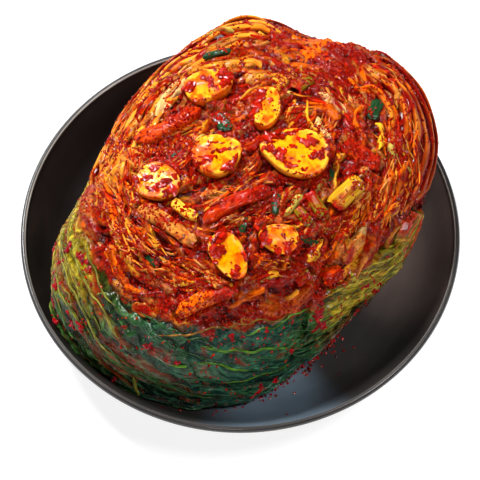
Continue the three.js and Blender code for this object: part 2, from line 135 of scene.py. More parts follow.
def resample(points, count):
    """Evenly spaced places along a line in a plane."""
    lengths = path_length(points)
    places = np.linspace(0, lengths[-1], count)
    return np.stack([np.interp(places, lengths, points[:, k]) for k in (0, 1)], 1)


def smooth(low, high, value):
    """0 at `low` and 1 at `high`, with soft ends."""
    t = np.clip((value - low) / (high - low), 0.0, 1.0)
    return t * t * (3.0 - 2.0 * t)


def lattice(cells, seed):
    """A repeatable random number from 0 to 1 for each whole-numbered cell."""
    c = cells.astype(np.int64)
    h = c[..., 0] * 374761393 + c[..., 1] * 668265263 + c[..., 2] * 1440662683 + seed * 974711
    h = (h ^ (h >> 13)) * 1274126177
    h = (h ^ (h >> 16)) & 0xFFFFFF
    return h / float(0xFFFFFF)


def noise(points, size, seed=0):
    """Smooth noise from -1 to 1 with features about `size` across."""
    p = np.asarray(points) / size
    base = np.floor(p)
    f = p - base
    f = f * f * (3.0 - 2.0 * f)
    total = 0.0
    for corner in product((0, 1), repeat=3):
        weight = np.where(corner, f, 1.0 - f)
        total = total + weight[..., 0] * weight[..., 1] * weight[..., 2] * lattice(base + corner, seed)
    return total * 2.0 - 1.0


def rough(points, size, seed=0, octaves=3):
    """Several layers of noise, each half the size and strength of the one before."""
    total = 0.0
    for k in range(octaves):
        total = total + noise(points, size / 2**k, seed + 31 * k) / 2**k
    return total / 1.6


def lumps(points, size, seed=0):
    """Rounded lumps about `size` across: 1 at a lump's middle, 0 between lumps."""
    p = np.asarray(points) / size
    base = np.floor(p)
    nearest = np.full(p.shape[:-1], 9.0)
    for offset in product((-1, 0, 1), repeat=3):
        cell = base + offset
        middle = np.stack([lattice(cell, seed + k) for k in (1, 2, 3)], axis=-1)
        nearest = np.minimum(nearest, np.linalg.norm(p - cell - middle, axis=-1))
    return np.clip(1.0 - nearest, 0.0, 1.0)


def around(values, angle):
    """Smooth closed curve through evenly spaced values."""
    v = np.asarray(values, float)
    place = (np.asarray(angle) / (2 * np.pi) * len(v)) % len(v)
    i = np.floor(place).astype(int)
    return spline(*(v[(i + k) % len(v)] for k in (-1, 0, 1, 2)), place - i)


def dish_height(radius):
    r, z = np.array(DISH_INSIDE).T
    return np.where(radius > r[-1], -999.0, np.interp(radius, r, z))


# ---- the dome that every leaf, stick and shred follows ----
def dome(angle, level):
    """The dome without relief. Level 0 is the edge of its base, 0.5 its widest line, 1 its top."""
    widest = around(WIDEST_RADIUS, angle)
    height = around(WIDEST_HEIGHT, angle)
    base = widest * around(BASE_SHARE, angle)
    low = np.minimum(level, 0.5) * np.pi
    high = np.maximum(level - 0.5, 0.0) * np.pi
    below = base + (widest - base) * np.sin(low)
    above = widest * np.maximum(np.cos(high), 0.0) ** (2 / SHOULDER_PLAN)
    radius = np.where(level > 0.5, above, below)
    z_below = mix(HEAD_FLOOR, height, 1 - np.cos(low))
    z_above = mix(height, HEAD_TOP, np.sin(high) ** (2 / SHOULDER_RISE))
    z = np.where(level > 0.5, z_above, z_below)
    return triple(HEAD_CENTRE[0] + radius * np.cos(angle), HEAD_CENTRE[1] + radius * np.sin(angle), z)


def dome_normal(angle, level):
    step = 0.004
    flat_from = 0.97
    low = np.clip(level - step, 0.0, flat_from)
    along = dome(angle + step, low) - dome(angle - step, low)
    up = dome(angle, low + 2 * step) - dome(angle, low)
    flat = np.clip((np.asarray(level) - flat_from) / 0.03, 0, 1)[..., None]
    return unit(mix(unit(np.cross(along, up)), np.array([0.0, 0.0, 1.0]), flat))


def skin(angle, level, lift):
    """Points lifted off the dome along its normal, kept above the inside of the dish."""
    angle, level = np.broadcast_arrays(np.asarray(angle, float), np.asarray(level, float))
    points = dome(angle, level) + dome_normal(angle, level) * np.asarray(lift, float)[..., None]
    floor = dish_height(np.hypot(points[..., 0], points[..., 1])) + DISH_GAP
    points[..., 2] = np.maximum(points[..., 2], floor)
    return points


def above(x, y):
    """Angle and level of the dome's top above a place in plan."""
    dx, dy = x - HEAD_CENTRE[0], y - HEAD_CENTRE[1]
    angle = np.arctan2(dy, dx)
    share = np.minimum(np.hypot(dx, dy) / around(WIDEST_RADIUS, angle), 1.0)
    return angle, 0.5 + np.arccos(share ** (SHOULDER_PLAN / 2)) / np.pi


# ---- meshes ----
def make_mesh(name, vertices, faces, material, colours, run=None, replaces=(), slot="", crisp=False):
    """A piece of the food or dish from vertices in millimetres and faces of one size."""
    vertices = vertices.reshape(-1, 3)
    faces = np.asarray(faces, np.int32)
    mesh = bpy.data.meshes.new(name)
    mesh.vertices.add(len(vertices))
    mesh.vertices.foreach_set("co", (np.asarray(vertices, np.float32) * MM).ravel())
    mesh.loops.add(faces.size)
    mesh.loops.foreach_set("vertex_index", faces.ravel())
    mesh.polygons.add(len(faces))
    mesh.polygons.foreach_set("loop_start", np.arange(0, faces.size, faces.shape[1], dtype=np.int32))
    mesh.polygons.foreach_set("use_smooth", np.full(len(faces), not crisp))
    mesh.update(calc_edges=True)
    mesh.validate()
    layer = mesh.color_attributes.new("tint", "FLOAT_COLOR", "POINT")
    full = np.ones((len(vertices), 4), np.float32)
    full[:, :3] = np.clip(colours.reshape(-1, 3), 0, 1)
    layer.data.foreach_set("color", full.ravel())
    run = vertices if run is None else run
    layer = mesh.attributes.new("run", "FLOAT_VECTOR", "POINT")
    layer.data.foreach_set("vector", np.asarray(run, np.float32).ravel())
    mesh.materials.append(material)
    piece = bpy.data.objects.new(name, mesh)
    bpy.context.collection.objects.link(piece)
    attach(piece, "root")
    if replaces:
        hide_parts(*replaces)
    return piece


def grid_faces(rows, columns, wrap=False):
    """Quads of a grid of vertices stored row by row; `wrap` joins the last column to the first."""
    i = np.arange(rows - 1)[:, None]
    j = np.arange(columns if wrap else columns - 1)[None, :]
    k = (j + 1) % columns
    quads = np.stack([i * columns + j, i * columns + k, (i + 1) * columns + k, (i + 1) * columns + j], -1)
    return quads.reshape(-1, 4)


class Heap:
    """Collects many small meshes of quads or triangles into one piece."""

    def __init__(self):
        self.parts, self.count = [], 0

    def add(self, vertices, faces, colours, run=None):
        vertices = vertices.reshape(-1, 3)
        colours = np.broadcast_to(colours.reshape(-1, 3), vertices.shape)
        run = vertices if run is None else run.reshape(-1, 3)
        self.parts.append((vertices, np.asarray(faces) + self.count, colours, run))
        self.count += len(vertices)

    def build(self, name, material, **options):
        vertices, faces, colours, run = (np.concatenate(kept) for kept in zip(*self.parts))
        return make_mesh(name, vertices, faces, material, colours, run, **options)


def surface_tree(pieces):
    """A search tree over the surfaces laid so far, for resting things on them."""
    vertices, faces = [], []
    for piece in pieces:
        mesh = piece.data
        co = np.empty(len(mesh.vertices) * 3, np.float32)
        mesh.vertices.foreach_get("co", co)
        start = len(vertices)
        vertices.extend((co.reshape(-1, 3) / MM).tolist())
        faces.extend([[start + i for i in p.vertices] for p in mesh.polygons])
    return BVHTree.FromPolygons(vertices, faces)


# ---- materials ----
def new_material(name, constants):
    """A material with its nodes, its links and its shader, whose sockets hold these constants."""
    material = bpy.data.materials.new(name)
    material.use_nodes = True
    nodes, links = material.node_tree.nodes, material.node_tree.links
    shader = nodes["Principled BSDF"]
    for socket, value in constants.items():
        shader.inputs[socket].default_value = value
    return material, nodes, links, shader


def add_node(nodes, kind, constants=(), operation=None):
    node = nodes.new(kind)
    for socket, value in dict(constants).items():
        node.inputs[socket].default_value = value
    if operation:
        node.operation = operation
    return node


def scaled_run(nodes, links, along, across):
    """The mesh's run coordinate, divided by a feature's size along and across the run."""
    run = nodes.new("ShaderNodeAttribute")
    run.attribute_name = "run"
    scaled = add_node(nodes, "ShaderNodeVectorMath", {1: (along, across, across)}, "DIVIDE")
    links.new(run.outputs["Vector"], scaled.inputs[0])
    return scaled.outputs["Vector"]


def colour_from_tint(nodes, links, shader, cloud, darkest, brightest):
    """The piece's own tint as base colour, darker and brighter with a cloud of noise."""
    tint = nodes.new("ShaderNodeVertexColor")
    tint.layer_name = "tint"
    reach = {"From Min": 0.3, "From Max": 0.7, "To Min": darkest, "To Max": brightest}
    shade = add_node(nodes, "ShaderNodeMapRange", reach)
    links.new(cloud.outputs["Fac"], shade.inputs["Value"])
    tone = add_node(nodes, "ShaderNodeVectorMath", operation="SCALE")
    links.new(tint.outputs["Color"], tone.inputs[0])
    links.new(shade.outputs["Result"], tone.inputs["Scale"])
    links.new(tone.outputs["Vector"], shader.inputs["Base Color"])


def add_bump(nodes, links, shader, height, strength, distance, sockets):
    relief = add_node(nodes, "ShaderNodeBump", {"Strength": strength, "Distance": distance})
    links.new(height.outputs["Fac"], relief.inputs["Height"])
    for socket in sockets:
        links.new(relief.outputs["Normal"], shader.inputs[socket])


def food_material(name, gloss, coat, bump, along, across, contrast=0.3):
    """Wet food: the piece's own tint, streaked along its run, with a fine bump and a wet coat."""
    material, nodes, links, shader = new_material(name, {
        "Roughness": gloss, "Coat Weight": coat, "Coat Roughness": 0.045, "Specular IOR Level": 0.0})
    fine = add_node(nodes, "ShaderNodeTexNoise", {"Scale": 1.0, "Detail": 3.0})
    links.new(scaled_run(nodes, links, along, across), fine.inputs["Vector"])
    colour_from_tint(nodes, links, shader, fine, 1.0 - contrast, 1.0 + contrast)
    add_bump(nodes, links, shader, fine, bump, 0.0005, ("Normal", "Coat Normal"))
    return material


def dish_material():
    """Satin brown-black stoneware glaze, faintly mottled."""
    material, nodes, links, shader = new_material("stoneware_glaze", {
        "Coat Weight": 0.2, "Coat Roughness": 0.08, "Specular IOR Level": 0.35})
    place = nodes.new("ShaderNodeTexCoord")
    cloud = add_node(nodes, "ShaderNodeTexNoise", {"Scale": 40.0, "Detail": 6.0})
    grain = add_node(nodes, "ShaderNodeTexNoise", {"Scale": 900.0})
    for texture in (cloud, grain):
        links.new(place.outputs["Object"], texture.inputs["Vector"])
    colour_from_tint(nodes, links, shader, cloud, 0.8, 1.25)
    gloss = add_node(nodes, "ShaderNodeMapRange", {"To Min": 0.30, "To Max": 0.42})
    links.new(grain.outputs["Fac"], gloss.inputs["Value"])
    links.new(gloss.outputs["Result"], shader.inputs["Roughness"])
    add_bump(nodes, links, shader, grain, 0.06, 0.0004, ("Normal",))
    return material


# Name, roughness, wet coat, bump, size of the noise along and across the run in millimetres, contrast.
PASTE = food_material("chilli_paste", 0.45, 0.34, 1.0, 1.4, 1.4, 0.5)
CABBAGE = food_material("stained_cabbage", 0.5, 0.2, 0.5, 6.0, 1.0, 0.4)
FLAKE = food_material("chilli_flake", 0.5, 0.5, 0.2, 0.6, 0.6)
CLOT = food_material("wet_paste", 0.5, 0.55, 0.3, 0.8, 0.8)
GARLIC = food_material("garlic", 0.5, 0.25, 0.5, 1.8, 1.8, 0.25)
RADISH = food_material("radish", 0.5, 0.28, 0.8, 2.0, 1.2, 0.5)
STEM = food_material("stem", 0.5, 0.3, 0.6, 8.0, 0.9, 0.4)
GREEN = food_material("green_leaf", 0.5, 0.5, 1.3, 4.0, 0.6, 0.8)
SCALLION = food_material("scallion", 0.45, 0.5, 0.6, 6.0, 0.9, 0.5)
GLAZE = dish_material()

# Colours, linear.
# DEEP_RED is also painted shade: in the paste's hollows, between leaf edges and along tucked-in strip edges.
DEEP_RED = rgb(0.040, 0.0008, 0.0003)
PASTE_RED = rgb(0.165, 0.0028, 0.0008)
BRIGHT_RED = rgb(0.42, 0.012, 0.0015)
ORANGE = rgb(0.66, 0.105, 0.0025)
RED_ORANGE = rgb(0.52, 0.042, 0.002)
PALE_ORANGE = rgb(0.76, 0.26, 0.018)
TAN = rgb(0.50, 0.17, 0.025)
YELLOW = rgb(0.74, 0.32, 0.015)
PALE = rgb(0.66, 0.38, 0.13)
OLIVE_TAN = rgb(0.42, 0.30, 0.05)
GARLIC_YELLOW = rgb(0.90, 0.29, 0.004)
GARLIC_PALE = rgb(0.95, 0.43, 0.035)


# ---- dish ----
def fine_profile(points, step=1.2):
    """The same profile with its corners eased: short steps along a smooth curve."""
    p = np.array(points)
    return eased(resample(p, int(path_length(p)[-1] / step)), 6)


# The radius of a painted highlight line along the lip's inner edge.
RIM_HIGHLIGHT_RADIUS = DISH_RADIUS - DISH_LIP + 0.5
GLAZE_BROWN = rgb(0.024, 0.021, 0.020)
# Painted shade on the left of the dish's inside.
GLAZE_PAINTED_SHADE = rgb(0.009, 0.0075, 0.007)
# Painted light: a warm sheen on the right of the dish's inside.
GLAZE_PAINTED_LIGHT = rgb(0.105, 0.075, 0.066)
# Painted reflection: a bluish sheen on the inside at the front.
GLAZE_PAINTED_REFLECTION = rgb(0.095, 0.130, 0.165)
# Painted highlight on the lip.
GLAZE_RIM_HIGHLIGHT = rgb(0.60, 0.55, 0.50)


def build_dish():
    turns, lip_steps, lip_rise = 256, 20, 2.0
    turn = np.pi * np.arange(1, lip_steps) / lip_steps
    lip = np.stack([DISH_RADIUS - DISH_LIP / 2 + DISH_LIP / 2 * np.cos(turn),
                    DISH_HEIGHT - lip_rise + lip_rise * np.sin(turn)], 1)
    foot_ring = [(0.01, DISH_UNDERSIDE), *DISH_OUTSIDE[1:3], (FOOT_INNER + 0.6, 0.0)]
    profile = np.concatenate([foot_ring, fine_profile(DISH_OUTSIDE[3:]), lip,
                              fine_profile(DISH_INSIDE[1:])[::-1], [(0.01, DISH_FLOOR)]])
    angle = np.linspace(0, 2 * np.pi, turns, endpoint=False)
    r, z = profile[:, :1], profile[:, 1:]
    inner = (r < RIM_HIGHLIGHT_RADIUS) & (np.arange(len(profile))[:, None] > len(profile) / 2)
    # Painted shade: the inside of the dish darker towards the left.
    tint = blend(GLAZE_BROWN, GLAZE_PAINTED_SHADE, inner * smooth(0.1, 0.9, np.cos(angle - 2.9)))
    # Painted light: a warm sheen on the right of the inside.
    tint = blend(tint, GLAZE_PAINTED_LIGHT, inner * smooth(0.75, 1.0, np.cos(angle - 0.1)))
    # Painted reflection: a bluish sheen of an overhead light on the inside at the front.
    tint = blend(tint, GLAZE_PAINTED_REFLECTION, inner * smooth(0.92, 1.0, np.cos(angle + 1.40)))
    # Painted highlight: a thin bright line along the lip's inner edge, strongest at the back, fading to the
    # front.
    line = np.exp(-((r - RIM_HIGHLIGHT_RADIUS) / 0.22) ** 2) * (z > DISH_HEIGHT - 1.2)
    tint = blend(tint, GLAZE_RIM_HIGHLIGHT, line * smooth(-1.4, 0.6, np.sin(angle)))
    return make_mesh("dish_glazed", triple(r * np.cos(angle), r * np.sin(angle), z),
                     grid_faces(len(profile), turns, wrap=True), GLAZE, tint,
                     replaces=("dish",), slot="dark_glaze")


# ---- toppings: places as in the solids ----
# The places, and those of the strips further on, are points picked in the photo, turned into plan millimetres
# by a scratch program. Some stand as it printed them, less 1.5 mm in y, and the others were moved.
# Cloves: place in plan, length, width, height, turn in degrees.
CLOVES = [
    (-14, 40.5, 24, 18, 7, 24), (12, 26.5, 23, 12, 8, 80), (24, 3.5, 32, 23, 8, 170),
    (-10, 1.5, 23, 20, 8, 18), (-36, -10.5, 21, 18, 7, -28), (-5, -44.5, 22, 15, 7, -58),
    (16, -35.5, 18, 13, 7, 172),
]
# The rest: start and end in plan, width, height, bow, and how far it is raised.
STICKS = [
    ((-47, 16.5), (-19, 28.5), 8, 6, -3), ((-16, -29.5), (13, -14.5), 7, 5, 1.5),
    ((-45, -21.5), (-20, -39.5), 7, 5, 1), ((-27, -65.5), (-3, -57.5), 7, 5, 1),
    ((46, 10.5), (62, 1.5), 8, 5, 1), ((36.5, -46.5), (46, -41), 7, 5, 0),
    ((47, -38.5), (56, -27.5), 7, 4, 1),
]
PALE_STICK = ((-29.5, -19.5), (-19, -27.5), 5, 5, -1)
CHUNKS = [
    ((41, -19.5), (53, -6.5), 9, 7, 0), ((30, -14.5), (37, -23.5), 6, 5, 0),
    ((25, -21.5), (31, -27.5), 5, 4, 0), ((25, 38.5), (33, 45.5), 6, 5, 1),
    ((25, -50.5), (31, -45.5), 5, 4, 0),
]
GREENS = [
    ((-12, 25.5), (-6, 16.5), 7, 3, 1), ((-58, 2.5), (-52, 12.5), 3, 2.5, 0.5),
    ((-33, 3), (-26, 7.5), 3.5, 2.5, 0.5), ((15.5, -25), (17, -15.5), 4, 2.5, 0.5),
    ((26, -33.5), (36, -34.5), 3, 2.5, -0.5), ((61, 26.5), (65, 38.5), 6, 3, 1),
    ((0, -35.5), (3, -27.5), 2.5, 2.5, 0), ((40, -10.5), (42, -1.5), 3, 2.5, 0),
    ((-17, 58.5), (-4, 61.5), 3, 2.5, 0.5, 3.4), ((-42, -42.5), (-36, -47.5), 3, 2.5, 0),
]


def clove_line(x, y, length, width, height, turn):
    """The middle line of a clove's rounded outline, and half its width."""
    reach = (length - width) / 2
    dx, dy = reach * math.cos(math.radians(turn)), reach * math.sin(math.radians(turn))
    return (x - dx, y - dy), (x + dx, y + dy), width / 2


CLOVE_LINES = [clove_line(*clove) for clove in CLOVES]
TOPPING_LINES = CLOVE_LINES + [(start, end, width / 2) for start, end, width, *_ in
                               [*STICKS, PALE_STICK, *CHUNKS, *GREENS]]


def topping_distance(x, y, lines=TOPPING_LINES):
    """Distance in plan from the nearest topping's edge, negative under it."""
    nearest = np.full(np.shape(x), 99.0)
    for (ax, ay), (bx, by), half in lines:
        along = ((x - ax) * (bx - ax) + (y - ay) * (by - ay)) / ((bx - ax) ** 2 + (by - ay) ** 2)
        t = np.clip(along, 0, 1)
        nearest = np.minimum(nearest, np.hypot(x - mix(ax, bx, t), y - mix(ay, by, t)) - half)
    return nearest


# ---- the red head: core, leaf edges, shreds ----
def flow(x, y):
    """The direction in which shreds lie at a place in plan, in radians."""
    dx, dy = x - HEAD_CENTRE[0], y - HEAD_CENTRE[1]
    angle = np.arctan2(dy, dx)
    share = np.hypot(dx, dy) / around(WIDEST_RADIUS, angle)
    turned = angle + np.pi / 2
    middle = np.radians(35)
    difference = (turned - middle + np.pi / 2) % np.pi - np.pi / 2
    return middle + difference * smooth(0.25, 0.6, share)


def stamp_shreds(x, y, height, tint, count, seed):
    """Raises half-buried shreds out of a square height grid and stains them; both grids change."""
    rng = np.random.default_rng(seed)
    step = x[0, 1] - x[0, 0]
    for _ in range(count):
        cx, cy = rng.uniform(-88, 88, 2) + HEAD_CENTRE
        direction = flow(cx, cy) + rng.normal(0, 0.4)
        half = rng.uniform(5, 15)
        width = rng.uniform(0.9, 2.4)
        bow = rng.normal(0, 0.16) / half
        reach = half + width
        (j0, j1), (i0, i1) = ((int((c - reach - low) / step), int((c + reach - low) / step) + 1)
                              for c, low in ((cx, x[0, 0]), (cy, y[0, 0])))
        if min(i0, j0) < 0 or max(i1, j1) >= x.shape[0]:
            continue
        patch = (slice(i0, i1), slice(j0, j1))
        sx, sy = x[patch] - cx, y[patch] - cy
        u = sx * math.cos(direction) + sy * math.sin(direction)
        v = -sx * math.sin(direction) + sy * math.cos(direction)
        v = v - bow * u * u - 0.35 * np.sin(u * 0.7 + cx)
        end = np.clip((half - np.abs(u)) / 3.0, 0, 1)
        inside = np.clip(1 - (v / (width * (0.5 + 0.5 * end) + 1e-6)) ** 2, 0, 1) * (end > 0)
        rise = rng.uniform(0.8, 2.0) * np.sqrt(inside) * end**0.5
        rise = rise * (1 + 0.15 * np.sin(v * 5 + cx))
        old = height[patch]
        new = np.where(rise > 0, np.maximum(old, old * 0.3 + rise + rng.uniform(-0.3, 0.3)), old)
        kind = rng.random()
        colour = ORANGE if kind < 0.34 else TAN if kind < 0.56 else YELLOW if kind < 0.66 else BRIGHT_RED
        stain = np.clip(0.66 + rng.normal(0, 0.22) + 0.5 * noise(triple(u / 4, v, cx), 1.3, seed), 0, 1)
        tint[patch] = blend(tint[patch], blend(colour * 0.8, PASTE_RED, stain), smooth(0.1, 0.6, new - old))
        height[patch] = new


def red_tint(points, relief):
    """Bare paste colour with painted shade: darker in hollows, lighter on lumps, with fine red grains."""
    # Painted shade: the paste is darker where its relief is low.
    base = blend(DEEP_RED, PASTE_RED, smooth(-0.5, 1.9, relief + 0.4 * rough(points, 6, 8)))
    return blend(base, BRIGHT_RED, smooth(0.66, 0.9, lumps(points, 1.4, 5)) * 0.45)


def paste_relief(points):
    """Height of the paste in millimetres: soft hills, clots and grains."""
    hills = 1.2 * rough(points, 14, 1)
    clots = 1.7 * smooth(0.3, 0.9, lumps(points, 4.5, 2)) * smooth(-0.3, 0.4, rough(points, 11, 3))
    grains = 0.9 * smooth(0.25, 0.9, lumps(points, 1.9, 4))
    return hills + clots + grains - 0.7


# Where the green of the leaves gives way to the red of the paste: degrees round the dome and level.
# All but the two ends are points picked in the photo, as a scratch program turned them into such pairs.
RED_EDGE = [(150, 0.6), (170, 0.62), (181, 0.65), (207, 0.75), (218, 0.75), (230, 0.73), (251, 0.73),
            (268, 0.72), (288, 0.68), (301, 0.66), (316, 0.64), (333, 0.63), (347, 0.61), (370, 0.6)]


def degrees_round(angle):
    """Degrees round the dome, counted from the start of the red edge."""
    return (np.degrees(angle) - RED_EDGE[0][0]) % 360 + RED_EDGE[0][0]


def red_edge(degrees):
    """The level of the red's edge at a place round the dome."""
    return np.interp(degrees, *np.array(RED_EDGE, float).T)


def below_red(angle, level):
    """How far below the red a place lies, in levels; negative on the red and all round the back."""
    degrees = degrees_round(angle)
    depth = red_edge(degrees) - level
    return np.where(degrees > RED_EDGE[-1][0], -1.0, depth)


# Leaf colours round the dome, near the red and far below it: degrees, upper and lower colour.
LIME = rgb(0.21, 0.150, 0.006)
OLIVE = rgb(0.14, 0.095, 0.004)
DARK_GREEN = rgb(0.014, 0.040, 0.008)
TEAL = rgb(0.005, 0.026, 0.017)
# Painted shade: a dark purple-brown for the low front right, where the leaves lie in shadow.
PAINTED_SHADE_BROWN = rgb(0.040, 0.013, 0.013)
STAINED_RED = rgb(0.28, 0.007, 0.004)
LEAF_TONES = [
    (150, LIME, LIME), (190, LIME, LIME * 0.8), (212, LIME * 0.7, DARK_GREEN), (228, DARK_GREEN, DARK_GREEN),
    # From 304 to 330 degrees the lower colour is painted shade.
    (245, TEAL, TEAL), (280, TEAL, TEAL), (294, DARK_GREEN, TEAL), (304, OLIVE, PAINTED_SHADE_BROWN),
    (330, OLIVE, PAINTED_SHADE_BROWN), (350, LIME * 0.5, OLIVE * 0.6), (400, LIME * 0.5, OLIVE * 0.6),
]


def leaf_tone(angle, depth):
    """Base colour of a leaf at a place round the dome and at a depth below the red, in levels."""
    degrees = degrees_round(angle)
    stops, near, far = (np.array(column) for column in zip(*LEAF_TONES))
    near, far = (triple(*(np.interp(degrees, stops, column) for column in tone.T)) for tone in (near, far))
    return blend(near, far, smooth(0.06, 0.2, depth))


def leaf_surface(bare, angle, depth, turn=0):
    """Relief in millimetres and colour of a wet crumpled leaf, with fibres that run round the dome."""
    run = triple(angle * 85, -depth * 120 + 0.14 * angle * 85, turn * 3.0)
    run[..., 1] += 3.5 * noise(run / (16.0, 16.0, 1.0), 1.0, turn + 8) + 1.2 * noise(bare, 5.0, turn + 9)
    folds = 1 - np.abs(noise(stretched(run, 26.0), 6.0, 3))
    creases = 1 - np.abs(noise(stretched(run, 9.0), 2.4, 4))
    fine = 1 - np.abs(noise(stretched(run, 6.0), 1.2, 5))
    crumple = 1 - np.abs(rough(bare, 5.0, 6))
    height = 1.9 * folds**2 + 1.2 * creases**2 + 0.35 * fine + 1.1 * crumple**2 - 2.3
    tint = leaf_tone(angle, depth + 0.04 * rough(bare, 12, 7))
    tint = blend(tint, DARK_GREEN, smooth(0.0, 0.6, rough(stretched(run, 3.0), 7, 8)) * 0.65)
    # Painted shade and light: the leaf's colour darker in its folds and creases, lighter on their tops.
    tint = tint * (0.2 + 1.6 * smooth(-0.8, 1.6, height))[..., None]
    rusty = smooth(-0.1, 0.5, noise(stretched(run, 7.0), 2.6, 14) + 0.3 * noise(bare, 6, 15))
    tint = blend(tint, STAINED_RED + rgb(0.02, 0.03, 0.0), rusty * 0.45 * smooth(0.0, -0.5, np.cos(angle)))
    bright = smooth(0.66, 0.95, fine) * smooth(0.25, 0.8, creases)
    tint = blend(tint, leaf_tone(angle, depth) * 3.0 + rgb(0.02, 0.05, 0.01), bright * 0.65)
    stain = rough(bare, 8, 12) + 0.4 * noise(stretched(run, 5.0), 1.6, 13)
    tint = blend(tint, STAINED_RED, smooth(0.4, 1.0, stain + smooth(0.03, -0.01, depth)) * 0.8)
    return height, tint, run, creases, stain


TOP_LIMIT = 0.9
TOP_STEP = 0.57
TOP_REACH = 94.0
SHREDS = 700
ON_HEAD = dict(replaces=("cabbage_head",), slot="chilli_cabbage")


def build_top():
    """The red top, as a height grid in plan."""
    line = np.arange(-TOP_REACH, TOP_REACH + 0.01, TOP_STEP)
    x, y = np.meshgrid(line + HEAD_CENTRE[0], line + HEAD_CENTRE[1])
    angle, level = above(x, y)
    share = np.hypot(x - HEAD_CENTRE[0], y - HEAD_CENTRE[1]) / around(WIDEST_RADIUS, angle)
    inside = share < TOP_LIMIT + 0.03
    flat = triple(x, y)
    height = paste_relief(flat)
    tint = red_tint(flat, height)
    stamp_shreds(x, y, height, tint, SHREDS, 21)
    height += 0.4 * smooth(0.3, 0.9, lumps(flat, 1.5, 44))
    beside = topping_distance(x, y)
    collar = 1.6 + 1.2 * noise(flat, 5.0, 77)
    height = height - 0.6 + collar * np.exp(-((beside - 0.3) / 2.2) ** 2)
    height = np.where(beside < -0.5, np.minimum(height, -0.2), height)
    depth = below_red(angle, level)
    leafy = smooth(-0.004, 0.012, depth + 0.012 * rough(flat, 9, 90))
    leaf_height, leaf_tint, *_ = leaf_surface(dome(angle, level), angle % (2 * np.pi), depth)
    height = mix(height, 0.8 * leaf_height + 0.9, leafy)
    tint = blend(tint, leaf_tint, leafy)
    index = np.full(x.shape, -1)
    index[inside] = np.arange(inside.sum())
    kept = index.ravel()[grid_faces(*x.shape)]
    kept = kept[(kept >= 0).all(1)]
    points = skin(angle, level, height - 1.4)
    return make_mesh("paste_top", points[inside], kept, PASTE, tint[inside], **ON_HEAD)


def build_side():
    """The sides of the heap, as a grid round the dome."""
    turns, rows = 360, 64
    angle, level = np.meshgrid(np.linspace(0, 2 * np.pi, turns, endpoint=False),
                               np.linspace(0.02, 0.5 + np.arccos(TOP_LIMIT**1.3) / np.pi, rows))
    bare = dome(angle, level)
    relief = paste_relief(bare) * smooth(0.0, 0.12, level)
    degrees = np.degrees(angle)
    covered = smooth(158, 166, degrees) * smooth(0.03, -0.02, level - red_edge(degrees))
    side = skin(angle, level, relief * (1 - 0.6 * covered) - 2.2 - 2.2 * covered)
    depth = below_red(angle, level)
    wander = degrees + 6 * noise(bare, 9, 91)
    leafy = smooth(0.0, 0.02, depth) * smooth(166, 172, wander) * smooth(354, 348, wander)
    # Painted shade: under the leaves the side takes the leaf colour at half brightness; red_tint shades the
    # hollows.
    colours = blend(red_tint(bare, relief), leaf_tone(angle, depth) * 0.5, leafy)
    return make_mesh("paste_side", side, grid_faces(rows, turns, wrap=True), PASTE, colours, **ON_HEAD)


# Leaf edges: angles in degrees and levels of the lines that they follow over the dome, typed with pairs that
# a scratch program had made from points of the photo as the guide.
LEFT_EDGES = [
    [(186, 0.66), (160, 0.64), (138, 0.62), (123, 0.60), (106, 0.62), (90, 0.64), (76, 0.66)],
    [(184, 0.69), (160, 0.67), (138, 0.655), (123, 0.63), (106, 0.66), (90, 0.68), (74, 0.69)],
    [(188, 0.72), (160, 0.70), (138, 0.68), (122, 0.67), (106, 0.70), (90, 0.71), (74, 0.72)],
    [(190, 0.745), (156, 0.72), (139, 0.71), (122, 0.72), (109, 0.745), (96, 0.76), (78, 0.76)],
    [(189, 0.77), (164, 0.75), (146, 0.75), (128, 0.745), (115, 0.77), (104, 0.79), (83, 0.79)],
    [(192, 0.795), (174, 0.785), (156, 0.785), (136, 0.785), (118, 0.80), (104, 0.83)],
    [(186, 0.825), (168, 0.82), (150, 0.815), (132, 0.815)],
]
RIGHT_EDGES = [
    [(-4, 0.57), (10, 0.56), (30, 0.565), (44, 0.59), (52, 0.66)],
    [(-8, 0.61), (12, 0.60), (28, 0.605), (40, 0.615), (49, 0.70)],
    [(-12, 0.64), (4, 0.645), (20, 0.645), (34, 0.655), (46, 0.72)],
    [(-16, 0.67), (2, 0.68), (16, 0.69), (30, 0.69), (41, 0.705), (46, 0.745)],
    [(-22, 0.69), (-8, 0.71), (12, 0.725), (24, 0.72), (34, 0.735), (43, 0.77)],
    [(2, 0.76), (20, 0.765), (30, 0.765), (38, 0.80)],
]
BACK_LINES = 18
SMALL_SCRAPS = 170
FIBRES = 430
LOOSE_FRONT = 255
FLAP_START, FLAP_END, FLAP_TOP = 48, 78, 0.82


def back_edges():
    """Leaf edges round the back, from the dish to the shoulder: each its own line, width, stand and stain."""
    rng = np.random.default_rng(14)
    edges = []
    for k in range(BACK_LINES):
        start, length = rng.uniform(-8, 100), rng.uniform(34, 110)
        stops = np.linspace(start, min(start + length, 167), 6)
        slant = np.linspace(-1, 1, 6) * rng.normal(0, 0.016)
        levels = 0.15 + 0.0235 * k + slant + rng.normal(0, 0.013, 6)
        looks = rng.uniform(0.026, 0.058), rng.uniform(-0.6, 1.1), rng.uniform(0.4, 0.8)
        edges.append((list(zip(stops, levels)), *looks))
    return edges


# The section of a leaf's edge, from its outer slope over the crest to its inner drop: place and lift.
EDGE_ACROSS = np.array([-1.0, -0.75, -0.5, -0.3, -0.14, -0.02, 0.08, 0.17, 0.25, 0.33, 0.42])
EDGE_LIFTS = np.array([-3.4, -1.9, -0.95, -0.4, -0.06, 0.0, -0.12, -0.7, -1.6, -2.6, -3.8])


